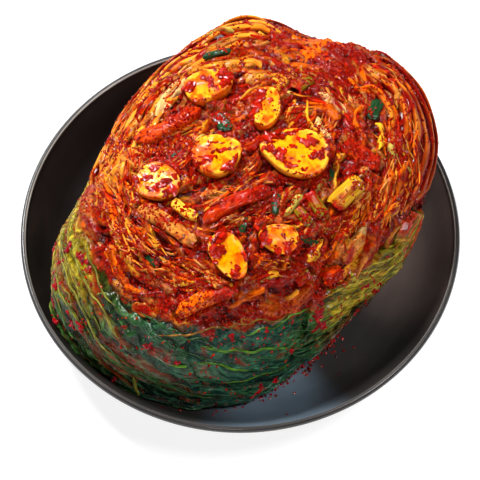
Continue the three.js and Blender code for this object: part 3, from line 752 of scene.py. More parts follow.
def leaf_edge(heap, line, width, stand, seed, stain, colour):
    """The thick edge of one leaf, running round the dome: an outer slope, a crest and an inner drop."""
    stops, levels = np.array(line, float).T
    t = np.linspace(0, 1, int(abs(stops[-1] - stops[0]) * GRID_PER_DEGREE) + 8)
    order = np.argsort(stops)
    degrees = mix(stops[0], stops[-1], t)
    middle = eased(np.interp(degrees, stops[order], levels[order]), 60)
    angle = np.radians(degrees)
    along = triple(angle * 80)
    middle = middle + 0.005 * rough(along, 16, seed)
    taper = off_ends(t, 0.1)
    rise = (stand + 0.7 * noise(along, 14, seed + 3)) * taper - 2.4 * (1 - taper)
    level = middle[:, None] + (width * (1 + 0.35 * noise(along, 11, seed + 9)))[:, None] * EDGE_ACROSS
    angle = np.broadcast_to(angle[:, None], level.shape)
    run = triple(angle * 80, level * 130, seed * 7.0)
    streaks = noise(stretched(run, 10.0), 1.0, seed)
    lift = EDGE_LIFTS + rise[:, None] + 0.2 * streaks + 0.5 * noise(stretched(run, 5.0), 2.4, seed + 20)
    crest = np.exp(-((EDGE_ACROSS + 0.06) / 0.22) ** 2)
    # The crest paler: partly the bare leaf's pale edge, partly painted highlight.
    pale = blend(colour, PALE_ORANGE, np.clip(0.7 * crest + 0.3 * streaks, 0, 1))
    patches = rough(stretched(run, 2.5), 4.5, seed + 5)
    red = smooth(-0.35, 0.45, patches + (stain - 0.5) * 2.2 + 0.9 * (0.5 - crest))
    red = np.maximum(red, smooth(24, 2, np.abs(degrees - 2))[:, None] * 0.8)
    # Painted shade: dark in the inner drop and at the foot of the outer slope, where the leaves meet.
    inner = smooth(0.06, 0.26, EDGE_ACROSS) + smooth(-0.55, -0.9, EDGE_ACROSS)
    painted = blend(blend(pale, PASTE_RED * 1.25, red), DEEP_RED, inner)
    heap.add(skin(angle, level, lift), grid_faces(*level.shape), painted, run)


def build_leaf_edges():
    heap = Heap()
    for k, line in enumerate(LEFT_EDGES):
        leaf_edge(heap, line, 0.042, 1.0, 100 + k, 0.42 + 0.12 * (k % 2), (ORANGE, PALE_ORANGE)[k % 2])
    for k, line in enumerate(RIGHT_EDGES):
        leaf_edge(heap, line, 0.040, 0.9, 200 + k, 0.62 + 0.1 * (k % 2), RED_ORANGE)
    for k, (line, width, stand, stain) in enumerate(back_edges()):
        colour = (RED_ORANGE, ORANGE, TAN, BRIGHT_RED)[k % 4]
        leaf_edge(heap, line, width, stand, 300 + k, stain, colour)
    return heap.build("leaf_edges", CABBAGE, **ON_HEAD)


def frame_along(points, normals):
    """Unit vectors along a line and across it."""
    along = unit(np.gradient(points, axis=0))
    return along, unit(np.cross(normals, along))


def ribbon(points, normals, width, thickness, sides, taper, crumple, seed):
    """A bar along a line with a rounded section and narrower ends: vertices, quads and run."""
    n = len(points)
    t = np.linspace(0, 1, n)[:, None]
    along, across = frame_along(points, normals)
    up = np.cross(along, across)
    share = mix(taper, 1.0, off_ends(t, 0.12))
    phase = np.linspace(0, 2 * np.pi, sides, endpoint=False)
    cosine, sine = (np.sign(wave) * np.abs(wave) ** 0.75 for wave in (np.cos(phase), np.sin(phase)))
    body = (points[:, None, :] + across[:, None, :] * (share * cosine * width / 2)[..., None]
            + up[:, None, :] * (share * sine * thickness / 2)[..., None])
    run = triple(t * path_length(points)[-1], cosine * width / 2, sine * thickness / 2 + seed * 9.0)
    body = body + crumple * np.stack([noise(stretched(run, 2.5), 2.4, seed + k) for k in (0, 1, 2)], -1)
    vertices, runs = (np.concatenate([grid.reshape(-1, 3), grid[[0, -1]].mean(1)]) for grid in (body, run))
    j = np.arange(sides)
    k = (j + 1) % sides
    last = n * sides
    first_cap = np.stack([np.full(sides, last), k, j, j], -1)
    last_cap = np.stack([np.full(sides, last + 1), last - sides + j, last - sides + k, last - sides + k], -1)
    return vertices, np.concatenate([grid_faces(n, sides, wrap=True), first_cap, last_cap]), runs


def drop(tree, x, y):
    """Height of the laid surfaces under a place in plan, or None."""
    hit = tree.ray_cast(Vector((x, y, DROP_START)), Vector((0, 0, -1)))[0]
    return None if hit is None else hit.z


# Crumpled strips of leaf, where they can be told apart: plan points, width, colour, stain.
SCRAPS = [
    ([(-38, 27.5), (-33, 40.5), (-23, 48.5)], 11, PALE, 0.3),
    ([(-28, 50.5), (-8, 55.5), (10, 54.5)], 11, PALE_ORANGE, 0.3),
    ([(2, 43.5), (9, 48.5), (15, 51.5)], 8, TAN, 0.3),
    ([(20, 55.5), (30, 55.5), (40, 52.5)], 5, ORANGE, 0.3),
    ([(14, 36.5), (18, 41.5), (21, 47.5)], 8, YELLOW, 0.3),
    ([(20, 22.5), (22, 28.5), (25, 34.5)], 4, PALE_ORANGE, 0.25),
    ([(31, 35.5), (31, 22.5), (38, 13.5)], 3.2, YELLOW, 0.2),
    ([(35, 25.5), (37, 19.5), (41, 13.5)], 5, PALE, 0.25),
    ([(36, 38.5), (43, 33.5), (48, 27.5)], 6, PALE, 0.45), ([(37, 29.5), (46, 25.5)], 8, ORANGE, 0.35),
    ([(50, 40.5), (61, 44.5), (69, 37.5), (73, 26.5)], 3.2, ORANGE, 0.1),
    ([(56, 57.5), (64, 58.5), (70, 55.5)], 4, ORANGE, 0.3),
    ([(62, 25.5), (65, 20.5), (63, 10.5)], 4, YELLOW, 0.25),
    ([(73, 22.5), (71, 2.5), (63, -13.5)], 8, BRIGHT_RED, 0.25),
    ([(75, 20.5), (77, 11.5), (73, 2.5), (71, -10.5)], 5, ORANGE, 0.3),
    ([(31, -15.5), (38, -7.5)], 5, OLIVE_TAN, 0.15), ([(17, -22.5), (24, -10.5)], 5, TAN, 0.35),
    ([(20, -25.5), (28, -16.5)], 6, OLIVE_TAN, 0.15), ([(44, 6.5), (46, 2.5)], 5, GARLIC_YELLOW, 0.2),
    ([(53, -4.5), (57, -0.5), (60, 0.5)], 7, TAN, 0.3), ([(51, -18.5), (58, -10.5)], 9, TAN, 0.3),
    ([(60, -20.5), (65, -15.5)], 4, TAN, 0.2), ([(51, -31.5), (55, -26.5), (60, -20.5)], 5, PALE, 0.3),
    ([(46, -30.5), (51, -22.5)], 6, PALE_ORANGE, 0.25), ([(30, -43.5), (37, -32.5)], 6, YELLOW, 0.25),
    ([(44, -44.5), (49, -37.5), (56, -30.5)], 5, PALE_ORANGE, 0.25),
    ([(12, -50.5), (17, -46.5)], 5, YELLOW, 0.25), ([(20, -56.5), (26, -52.5)], 4, PALE_ORANGE, 0.3),
    ([(-62, -21.5), (-58, -17.5), (-55, -29.5)], 8, ORANGE, 0.3),
    ([(-59, -34.5), (-55, -43.5), (-50, -52.5)], 8, ORANGE, 0.3),
    ([(-51, -33.5), (-48, -45.5)], 5, TAN, 0.35), ([(-52, -52.5), (-44, -56.5)], 6, ORANGE, 0.25),
    ([(-48, -59.5), (-37, -65.5)], 10, TAN, 0.4), ([(-33, -44.5), (-30, -49.5)], 4, ORANGE, 0.05),
    ([(-40, -30.5), (-36, -39.5)], 4, YELLOW, 0.3), ([(-15, -49.5), (-8, -57.5)], 8, TAN, 0.4),
    ([(-7, -52.5), (-2, -56.5)], 4, PALE_ORANGE, 0.1), ([(6, -48.5), (11, -42.5)], 5, ORANGE, 0.2),
    ([(8, -53.5), (14, -49.5), (20, -44.5)], 6, OLIVE_TAN, 0.3),
    ([(18, -46.5), (23, -37.5)], 5, ORANGE, 0.3), ([(2, -59.5), (11, -55.5)], 6, ORANGE, 0.35),
    ([(-9, 26.5), (-8, 30.5), (-6, 33.5)], 2.5, PALE_ORANGE, 0.1),
    ([(-54, 10.5), (-48, 5.5), (-42, -1.5)], 10, TAN, 0.4),
    ([(-26, -2.5), (-24, -8.5), (-21, -13.5)], 4, TAN, 0.3),
    ([(-61, -2.5), (-54, 4.5)], 6, PALE_ORANGE, 0.3), ([(-59, -20.5), (-53, -13.5)], 6, ORANGE, 0.3),
    ([(-15, -17.5), (-6, -9.5)], 8, TAN, 0.45), ([(-12, 4.5), (-4, 16.5)], 7, OLIVE_TAN, 0.4),
    ([(77, -9.5), (81, -0.5), (84, 7.5)], 4, TAN, 0.55),
    ([(36, -40), (42, -33), (47, -26)], 5, ORANGE, 0.3), ([(52, -41), (58, -34)], 5, TAN, 0.3),
    ([(61, -33), (66, -26)], 5, ORANGE, 0.35), ([(40, -22), (46, -13)], 6, ORANGE, 0.35),
    ([(28, -34), (33, -26)], 5, TAN, 0.35), ([(80, -8.5), (85, 0.5), (88, 9.5)], 5, PALE_ORANGE, 0.6),
    ([(61, -17.5), (64, -8.5), (69, 4.5)], 9, ORANGE, 0.4),
    ([(64, -19.5), (73, -9.5)], 6, PALE_ORANGE, 0.35),
    ([(66, -26.5), (70, -20.5), (74, -15.5)], 3.5, TAN, 0.4),
]


def spread_line(points, step):
    """Evenly spaced places along a smooth curve through a few plan points, and the curve's length."""
    p = np.array(points, float)
    if len(p) > 2:
        ends = np.concatenate([[2 * p[0] - p[1]], p, [2 * p[-1] - p[-2]]])
        t = np.linspace(0, 1, 12, endpoint=False)[:, None]
        parts = [spline(*four, t) for four in zip(ends[:-3], ends[1:-2], ends[2:-1], ends[3:])]
        p = np.concatenate([*parts, p[-1:]])
    length = path_length(p)[-1]
    return resample(p, max(6, int(length / step))), length


def drape(tree, plan):
    """Lays a plan line over the surfaces, bridging small hollows; gives points and dome normals."""
    heights = [drop(tree, x, y) for x, y in plan]
    if None in heights:
        return None, None
    z = np.array(heights)
    for _ in range(5):
        bridged = z.copy()
        bridged[1:-1] = (z[:-2] + z[1:-1] + z[2:]) / 3
        z = np.maximum(bridged, z - 0.4)
    angle, level = above(plan[:, 0], plan[:, 1])
    return np.concatenate([plan, z[:, None]], 1), dome_normal(angle, level)


def add_scrap(heap, tree, points, width, colour, stain, seed):
    """One crumpled strip: ragged ends, creases along its length, edges tucked into the paste."""
    plan, length = spread_line(points, 0.8)
    centre, normals = drape(tree, plan)
    if centre is None:
        return False
    _, sideways = frame_along(centre, normals)
    v = np.linspace(-1, 1, max(7, int(width / 0.55)))
    t = np.linspace(0, 1, len(plan))[:, None]
    u = t * length
    wander = noise(triple(u / 6, 0, seed), 1.0, seed)
    fuller = mix(0.45, 1.0, off_ends(t, 0.22))
    ragged = 0.75 + 0.35 * noise(triple(u / 3, 0, seed), 1.0, seed + 2)
    s = width / 2 * fuller * ragged * v + 0.12 * width * wander
    run = triple(u, s, seed * 5.0)
    creases = noise(stretched(run, 7.0), 1.1, seed)
    folds = noise(stretched(run, 5.0), 2.6, seed + 1)
    arch = 0.25 + 0.10 * width
    lift = arch * (1 - v**2) + 0.45 * creases + 0.7 * folds * (width > 3) - 1.0 * np.abs(v) ** 5
    lift = lift + 0.35 - 1.3 * (1 - off_ends(t, 0.12))
    body = centre[:, None, :] + sideways[:, None, :] * s[..., None] + normals[:, None, :] * lift[..., None]
    # Painted shade and light: the strip's colour darker in its creases and folds, lighter on their tops.
    high = smooth(-0.5, 0.6, creases + 0.4 * folds)
    patches = rough(stretched(run, 2.2), 3.0, seed + 5) + 0.4 * (0.5 - high)
    red = smooth(-0.25, 0.35, patches + (stain - 0.42) * 2.0)
    painted = blend(blend(colour * 0.62, colour * 1.05, high), PASTE_RED * 1.3, red)
    # Painted shade along the edges, where the strip tucks into the paste.
    painted = blend(painted, DEEP_RED * 1.6, smooth(0.75, 1.0, np.abs(v)) * 0.8)
    heap.add(body, grid_faces(*s.shape), painted, run)
    return True


def random_spot(rng, share):
    """A random place in plan: x, y, its share of the way out to the widest line, and its direction."""
    reach, turn = math.sqrt(rng.uniform(0, share)), rng.uniform(0, 2 * math.pi)
    radius = reach * around(WIDEST_RADIUS, turn)
    return HEAD_CENTRE[0] + radius * math.cos(turn), HEAD_CENTRE[1] + radius * math.sin(turn), reach, turn


def past_red(reach, turn, limit):
    """Whether a place is out past the loose shreds, which stop earlier at the front."""
    front = max(0.0, math.cos(turn - math.radians(LOOSE_FRONT)))
    return reach > mix(limit, 0.68, min(1, 1.6 * front))


def bent_line(rng, x, y, half, sway, bend):
    """Three plan points of a short curved line that runs with the shreds."""
    direction = flow(x, y) + rng.normal(0, sway)
    step = np.array([math.cos(direction), math.sin(direction)])
    aside = np.array([-step[1], step[0]]) * rng.normal(0, bend) * half
    middle = np.array([x, y])
    return [middle - step * half, middle + aside, middle + step * half]


def is_clear(points, gap):
    """Whether a loose shred may lie here: off the toppings, on the red, and not on the broad flap of leaf."""
    if min(topping_distance(*p) for p in points) < gap:
        return False
    for x, y in points:
        angle, level = above(x, y)
        on_flap = FLAP_START < math.degrees(angle) % 360 < FLAP_END and level < FLAP_TOP
        if below_red(angle, level) >= -0.012 or on_flap:
            return False
    return True


def build_scraps(tree):
    """Crumpled leaf strips: the listed ones, then smaller ones that fill in between."""
    rng = np.random.default_rng(5)
    heap = Heap()
    for k, (points, width, colour, stain) in enumerate(SCRAPS):
        add_scrap(heap, tree, points, width, colour, stain, 500 + k)
    colours = [ORANGE, TAN, PALE_ORANGE, BRIGHT_RED, YELLOW, OLIVE_TAN]
    made = 0
    for _ in range(3000):
        if made >= SMALL_SCRAPS:
            break
        x, y, reach, turn = random_spot(rng, 0.74)
        if past_red(reach, turn, 0.86):
            continue
        half = rng.uniform(3.5, 9)
        width = rng.uniform(1.6, 4.6)
        points = bent_line(rng, x, y, half, 0.4, 0.16)
        if not is_clear(points, width / 2 - 0.3):
            continue
        colour = colours[rng.choice(6, p=[0.28, 0.22, 0.12, 0.2, 0.1, 0.08])]
        made += add_scrap(heap, tree, points, width, colour, rng.uniform(0.25, 0.6), 700 + made)
    return heap.build("leaf_scraps", CABBAGE, **ON_HEAD)


def build_fibres(tree):
    """Thin frayed fibres of leaf that run with the shreds."""
    rng = np.random.default_rng(8)
    heap = Heap()
    colours = [ORANGE, RED_ORANGE, TAN, TAN, RED_ORANGE, PALE_ORANGE]
    made = 0
    for _ in range(4000):
        if made >= FIBRES:
            break
        x, y, reach, turn = random_spot(rng, 0.86)
        if past_red(reach, turn, 0.93) or rng.random() < smooth(0, 34, y) * 0.93:
            continue
        points = bent_line(rng, x, y, rng.uniform(2.5, 8), 0.25, 0.14)
        if not is_clear(points, 0.3):
            continue
        centre, normals = drape(tree, spread_line(points, 1.1)[0])
        if centre is None:
            continue
        width = rng.uniform(0.5, 1.3)
        points = centre + normals * 0.15
        vertices, faces, run = ribbon(points, normals, width, width * 0.6, 6, 0.2, 0.15, made)
        colour = colours[rng.integers(0, len(colours))]
        stain = smooth(-0.2, 0.6, noise(stretched(run, 2.0), 2.0, made) + rng.uniform(-0.3, 0.6))
        heap.add(vertices, faces, blend(colour, PASTE_RED, stain), run)
        made += 1
    return heap.build("leaf_fibres", CABBAGE, **ON_HEAD)


# ---- toppings ----
def turned(normal, spin):
    """The matrix that spins a piece and lays it on a surface with this normal."""
    tilt = np.array(Vector((0, 0, 1)).rotation_difference(Vector(normal)).to_matrix())
    c, s = math.cos(spin), math.sin(spin)
    return tilt @ np.array([[c, -s, 0], [s, c, 0], [0, 0, 1]])


def seat(points, x, y, turn):
    """Places a piece modelled about the origin on the bare core, tilted to the dome."""
    angle, level = above(x, y)
    return points @ turned(dome_normal(angle, level), turn).T + skin(angle, level, INNER)


GARLIC_STAIN = rgb(0.66, 0.060, 0.002)


def build_clove(index, x, y, length, width, height, turn):
    """Half a garlic clove: a flat cut face with a soft rim, one end more pointed."""
    sides, rows, waist, waist_rise = 72, 26, 0.35, 0.72
    phase = np.linspace(0, 2 * np.pi, sides, endpoint=False)[None, :]
    v = np.linspace(0, 1, rows)[:, None]
    low, high = v / waist, (v - waist) / (1 - waist) * np.pi / 2
    top = np.maximum(np.cos(high), 0.0) ** 0.35
    share = np.where(v < waist, mix(0.84, 1.0, np.sin(low * np.pi / 2)), top)
    crown = np.sin(np.maximum(high, 0)) ** 0.5
    rise = np.where(v < waist, low * waist_rise, waist_rise + (1 - waist_rise) * crown)
    x_share, y_share = np.cos(phase), np.sin(phase)
    pointed = 1 - 0.2 * x_share
    points = triple(length / 2 * share * x_share, width / 2 * share * y_share * pointed, height * rise)
    shifted = points + index * 40
    outline = 1 + 0.09 * noise(triple(x_share, y_share, index), 0.8, index)
    points[..., :2] *= outline[..., None]
    face = smooth(0.96, 0.86, share)
    points[..., 2] += (0.5 * noise(shifted, 8, index) + 0.35 * noise(shifted, 2.6, index) - 0.5) * face
    shifted = points + index * 40
    # The rim paler: partly the clove's own colour, partly painted highlight.
    edge = smooth(0.7, 0.98, share)
    tint = blend(GARLIC_YELLOW, GARLIC_PALE, edge * 0.6 + 0.4 * noise(shifted, 5, 2))
    smear = smooth(-0.15, 0.3, rough(shifted, 4.5, index + 7) + 0.4 * noise(shifted, 1.6, index))
    tint = blend(tint, GARLIC_STAIN, smear * 0.9)
    tint = blend(tint, GARLIC_STAIN * 0.8, smooth(0.75, 0.2, points[..., 2] / height) * 0.8)
    return make_mesh(f"garlic_clove_{index}", seat(points, x, y, math.radians(turn)),
                     grid_faces(rows, sides, wrap=True), GARLIC, tint,
                     replaces=(f"garlic_{index}",), slot="garlic")


def route(start, end, bow, lift, steps=30):
    """A bowed line over the dome at a lift, with its normals, as in the solids."""
    t = np.linspace(0, 1, steps)
    (ax, ay), (bx, by) = start, end
    length = math.hypot(bx - ax, by - ay)
    side = bow * 4 * t * (1 - t)
    x = mix(ax, bx, t) - side * (by - ay) / length
    y = mix(ay, by, t) + side * (bx - ax) / length
    angle, level = above(x, y)
    return skin(angle, level, np.full(steps, lift)), dome_normal(angle, level)


def build_stick(name, node, slot, material, colour, stain, start, end, width, height, bow, raised=0.0,
                crumple=0.35, dark=PASTE_RED, seed=0, lean=0.0, taper=0.75):
    """A bar of radish, stem or leaf laid over the dome, stained in patches and more at one end by `lean`."""
    points, normals = route(start, end, bow, INNER + height / 2 + raised)
    vertices, faces, run = ribbon(points, normals, width, height, 24, taper, crumple, seed)
    patches = rough(stretched(run, 1.8), 3.5, seed) + 0.5 * noise(stretched(run, 4.0), 1.2, seed + 4)
    place = run[:, 0] / run[:, 0].max() - 0.5
    red = smooth(-0.3, 0.4, patches + (stain - 0.5) * 1.8 + lean * place)
    return make_mesh(name, vertices, faces, material, blend(colour, dark, red), run,
                     replaces=(node,), slot=slot)


# Each radish stick's colour, stain and lean.
STICK_LOOKS = [(RED_ORANGE, 0.42, 1.0), (RED_ORANGE, 0.7, 0.3), (TAN, 0.35, 0.0), (ORANGE, 0.6, 2.6),
               (RED_ORANGE, 0.7, 0.0), (RED_ORANGE, 0.5, 0.0), (TAN, 0.5, 0.0)]
CHUNK_GREEN = rgb(0.52, 0.25, 0.010)
SCALLION_GREEN = rgb(0.012, 0.042, 0.014)


def build_toppings():
    pieces = [build_clove(i + 1, *clove) for i, clove in enumerate(CLOVES)]
    for i, (stick, (colour, stain, lean)) in enumerate(zip(STICKS, STICK_LOOKS)):
        pieces.append(build_stick(f"radish_{i + 1}", f"radish_stick_{i + 1}", "radish", RADISH, colour, stain,
                                  *stick, dark=BRIGHT_RED * 0.75, seed=60 + i, crumple=1.0, lean=lean,
                                  taper=0.45))
    pieces.append(build_stick("pale_radish", "pale_stick", "pale_stem", STEM, GARLIC_PALE, 0.1,
                              *PALE_STICK, dark=ORANGE, seed=80))
    for i, chunk in enumerate(CHUNKS):
        colour = CHUNK_GREEN if i == 0 else CHUNK_GREEN * (0.45, 0.7, 0.8)
        pieces.append(build_stick(f"stem_{i + 1}", f"stem_chunk_{i + 1}", "pale_stem", STEM, colour, 0.45,
                                  *chunk, dark=PASTE_RED * 2, seed=90 + i, lean=-0.8))
    for i, green in enumerate(GREENS):
        pieces.append(build_stick(f"scallion_leaf_{i + 1}", f"scallion_{i + 1}", "scallion_green", SCALLION,
                                  SCALLION_GREEN, 0.1, *green, seed=120 + i, crumple=0.4, taper=0.4))
    return pieces


# ---- green leaves ----
VEIN = rgb(0.08, 0.20, 0.014)
VEIN_PALE = rgb(0.24, 0.22, 0.03)
VEIN_BROWN = rgb(0.26, 0.11, 0.010)

FINE_VEINS = 105
VEIN_SPAN = (163, 345)  # degrees round the dome
LEAF_PER_DEGREE = 2.6
LEAF_ROWS = 110

# Node, start and end in degrees round the dome, low and high level at each end, lift.
LEAVES = [
    ("leaf_left", 160, 214, (0.24, 0.36), (0.61, 0.74), INNER),
    ("leaf_front", 248, 298, (0.26, 0.25), (0.71, 0.69), INNER),
    ("leaf_under", 301, 330, (0.18, 0.18), (0.40, 0.40), INNER),
    ("leaf_right", 325, 362, (0.43, 0.24), (0.60, 0.58), INNER),
    ("leaf_front_left", 202, 262, (0.38, 0.25), (0.70, 0.74), OUTER),
    ("leaf_front_right", 286, 342, (0.44, 0.46), (0.68, 0.63), OUTER),
    ("leaf_flap", 50, 75, (0.60, 0.64), (0.78, 0.80), INNER),
]


def build_leaf(seed, node, start, end, low, high, lift):
    """A thin crumpled leaf over a patch of the dome: folds, creases and fibres along its run."""
    t = np.linspace(0, 1, int((end - start) * LEAF_PER_DEGREE))[None, :]
    v = np.linspace(-1, 1, LEAF_ROWS)[:, None]
    ragged = 3.0 * noise(triple(0, v * 9), 2.0, seed + 1) + 7.0 * v**2
    degrees = mix(start, end, t) - (2 * t - 1) ** 3 * ragged
    ruffle = 0.010 * np.sin(17 * t + start) + 0.010 * noise(triple(t * 60), 3, seed)
    fullness = np.minimum(1, 0.45 + 3.5 * np.minimum(t, 1 - t))
    if node == "leaf_right":
        fullness = np.minimum(fullness, 0.16 + 3.2 * (1 - t))
    half = fullness * mix(high[0] - low[0], high[1] - low[1], t) / 2 + ruffle
    level = mix(low[0] + high[0], low[1] + high[1], t) / 2 + half * v
    angle = np.radians(degrees)
    height, tint, run, creases, stain = leaf_surface(dome(angle, level), angle, below_red(angle, level), seed)
    edge = smooth(1.0, 0.9, np.abs(v)) * off_ends(t, 0.1)
    points = skin(angle, level, lift + 0.5 + height * edge - 2.4 * (1 - edge))
    slot, material = "green_leaf", GREEN
    if node == "leaf_right":
        tint = blend(tint, BRIGHT_RED, smooth(333, 350, degrees) * smooth(-0.4, 0.15, stain) * 0.85)
    if node == "leaf_flap":
        slot, material = "red_leaf", CABBAGE
        tint = blend(BRIGHT_RED, ORANGE, smooth(0.2, 1.6, height + creases))
        tint = blend(tint, PASTE_RED, smooth(-0.1, 0.5, stain) * 0.8)
    return make_mesh(f"{node}_crumpled", points, grid_faces(*level.shape), material, tint, run,
                     replaces=(node,), slot=slot)


# Veins that can be told apart: places round the dome in degrees and levels, width, colour. About half of the
# places are points picked in the photo, as a scratch program turned them into such pairs.
VEINS = [
    ([(202, 0.65), (214, 0.65), (224, 0.62), (232, 0.58)], 1.6, VEIN_PALE),
    ([(206, 0.70), (215, 0.69), (225, 0.68), (234, 0.64)], 1.5, VEIN_PALE),
    ([(207, 0.74), (212, 0.73), (228, 0.70)], 1.3, VEIN_PALE),
    ([(188, 0.60), (198, 0.60), (208, 0.58), (218, 0.54)], 1.3, VEIN_PALE),
    ([(256, 0.68), (268, 0.67), (286, 0.60)], 1.9, VEIN),
    ([(242, 0.68), (258, 0.72), (275, 0.715), (290, 0.67)], 1.4, VEIN_BROWN),
    ([(248, 0.63), (260, 0.64), (272, 0.60)], 1.8, VEIN),
    ([(239, 0.55), (240, 0.50), (241, 0.45)], 2.4, VEIN_PALE),
    ([(270, 0.70), (284, 0.68), (296, 0.655)], 1.3, VEIN),
    ([(262, 0.57), (274, 0.57), (286, 0.53)], 1.2, VEIN),
]


def add_strand(heap, tree, line, width, colour, seed):
    """A thin tapered vein laid along a leaf."""
    stops, levels = np.array(line, float).T
    t = np.linspace(0, 1, max(10, int(abs(stops[-1] - stops[0]) * GRID_PER_DEGREE)))
    place = np.linspace(0, 1, len(stops))
    degrees = np.interp(t, place, stops)
    level = eased(np.interp(t, place, levels), 8) + 0.007 * noise(triple(degrees, 0, seed), 4.0, seed)
    angle = np.radians(degrees)
    spots = [land(tree, a, b)[0] for a, b in zip(angle, level)]
    if any(spot is None for spot in spots):
        return
    normals = dome_normal(angle, level)
    points = eased(np.array(spots), 3) + normals * 0.12 * width
    vertices, faces, run = ribbon(points, normals, width, width * 0.7, 8, 0.15, 0.12, seed)
    shade = 0.8 + 0.5 * noise(stretched(run, 3.0), 1.0, seed)
    heap.add(vertices, faces, colour * np.clip(shade, 0.4, 1.4)[:, None], run)


def build_veins(tree):
    """The listed veins, then finer ones that run with the leaves."""
    rng = np.random.default_rng(17)
    heap = Heap()
    for k, (line, width, colour) in enumerate(VEINS):
        add_strand(heap, tree, line, width * 0.72, colour, 900 + k)
    for k in range(FINE_VEINS):
        start = rng.uniform(*VEIN_SPAN)
        length = rng.uniform(7, 26)
        degrees = np.linspace(start, start + length, 5)
        depth = rng.uniform(0.015, 0.34) + rng.uniform(0.0005, 0.003) * (degrees - start)
        level = red_edge(degrees) - depth
        tone = leaf_tone(np.radians([start]), depth[:1])[0]
        colour = tone * rng.uniform(0.9, 2.2) + VEIN * rng.uniform(0.0, 0.35)
        add_strand(heap, tree, list(zip(degrees, level)), rng.uniform(0.4, 1.3), colour, 930 + k)
    return heap.build("leaf_veins", GREEN, slot="green_leaf")


# ---- chilli flakes and clots ----
GRAIN_FACES = [(0, 2, 4), (2, 1, 4), (1, 3, 4), (3, 0, 4), (2, 0, 5), (1, 2, 5), (3, 1, 5), (0, 3, 5)]
GRAIN = np.array([(1, 0, 0), (-1, 0, 0), (0, 1, 0), (0, -1, 0), (0, 0, 1), (0, 0, -1)], float)


def pebble(rows=5, sides=7):
    """A ball of quads, of radius 1."""
    tilt = np.linspace(0.02, np.pi - 0.02, rows)[:, None]
    turn = np.linspace(0, 2 * np.pi, sides, endpoint=False)
    ball = triple(np.sin(tilt) * np.cos(turn), np.sin(tilt) * np.sin(turn), np.cos(tilt))
    return ball.reshape(-1, 3), grid_faces(rows, sides, wrap=True)


def random_size(rng, *ranges):
    return np.array([rng.uniform(*reach) for reach in ranges])


def cast(tree, spot, outward):
    """Where a ray in towards a place on the dome meets what is laid: point and normal, or None twice."""
    hit, normal, _, _ = tree.ray_cast(Vector(spot + outward * RAY_START), Vector(-outward), 40)
    return (None, None) if hit is None else (np.array(hit), np.array(normal))


def land(tree, angle, level):
    """The laid surface under a place on the dome, as cast gives it."""
    return cast(tree, dome(angle, level), dome_normal(angle, level))


CLOT_RED = rgb(0.33, 0.007, 0.0008)
LEAF_CLOT_RED = rgb(0.28, 0.004, 0.007)
FLAKE_LIMIT = 19000
FLAKE_TRIES = 60000
LEAF_CLOTS = 150
TOP_CLOTS = 150
JUICE_DROPS = 330
LARGEST_DAB = 1.1
LEAF_CLOT_SPAN = (165, 345)
JUICE_SPAN = (226, 312)
FLAKE_REDS = [rgb(0.26, 0.004, 0.001), rgb(0.33, 0.007, 0.001), rgb(0.20, 0.003, 0.001),
              rgb(0.40, 0.016, 0.002)]


def scatter_flakes(tree):
    """Loose chilli flakes on everything that shows, in clumps on the red and thinly on the green."""
    rng = np.random.default_rng(29)
    heap = Heap()
    angles = rng.uniform(0, 2 * np.pi, FLAKE_TRIES)
    levels = 0.5 + np.arccos(rng.uniform(0, 1, FLAKE_TRIES) ** 0.65) / np.pi
    levels = np.where(rng.random(FLAKE_TRIES) < 0.86, levels, rng.uniform(0.1, 0.62, FLAKE_TRIES))
    spots, outward = dome(angles, levels), dome_normal(angles, levels)
    clump = rough(spots, 9.0, 55) + 0.5 * rough(spots, 3.5, 56)
    chance = smooth(-0.25, 0.3, clump) * np.where((levels > 0.78) | (np.sin(angles) < 0.3), 0.85, 0.5) + 0.04
    chance = np.where((np.abs(np.degrees(angles) - 125) < 65) & (levels < 0.82), chance * 0.45, chance)
    chance = np.where(below_red(angles, levels) > 0, 0.07, chance)
    kept = np.flatnonzero(rng.random(FLAKE_TRIES) < chance)[:FLAKE_LIMIT]
    on_clove = topping_distance(spots[:, 0], spots[:, 1], CLOVE_LINES) < -1.0
    for k in kept:
        if on_clove[k] and rng.random() < 0.94:
            continue
        hit, normal = cast(tree, spots[k], outward[k])
        if hit is None:
            continue
        size = rng.uniform(0.32, 0.7) if rng.random() < 0.9 else rng.uniform(0.7, 1.0)
        shape = GRAIN * (size * random_size(rng, (0.8, 1.5), (0.6, 1.0), (0.5, 0.85)))
        shape = shape + rng.normal(0, 0.12 * size, shape.shape)
        placed = shape @ turned(normal, rng.uniform(0, np.pi)).T + hit + normal * size * 0.12
        heap.add(placed, GRAIN_FACES, FLAKE_REDS[rng.integers(0, 4)] * rng.uniform(0.7, 1.2))
    return heap.build("chilli_flakes", FLAKE, slot="chilli_cabbage", crisp=True)


def add_clot(heap, tree, ball, angle, level, size, rng, colour, largest=LARGEST_DAB):
    """A flat ragged dab of paste: pebbles of mixed size run together along one line."""
    spread = size / 90.0
    lean = rng.uniform(0, np.pi)
    for _ in range(int(3 + size * 1.6)):
        reach = rng.normal(0, 0.3) * spread
        aside = rng.normal(0, 0.12) * spread
        a = angle + reach * math.cos(lean) - aside * math.sin(lean)
        b = level + 0.6 * (reach * math.sin(lean) + aside * math.cos(lean))
        point, normal = land(tree, a, b)
        if point is None:
            continue
        radius = min(size * rng.uniform(0.12, 0.26), largest) * (largest / LARGEST_DAB) ** 0.5
        shape = ball[0] * (radius * random_size(rng, (0.9, 2.0), (0.6, 1.1), (0.5, 0.8)))
        shape = shape * (1 + 0.5 * noise(shape + rng.uniform(0, 90), radius * 0.8, 1))[:, None]
        placed = shape @ turned(normal, rng.uniform(0, np.pi)).T + point
        heap.add(placed, ball[1], colour * rng.uniform(0.5, 1.4))


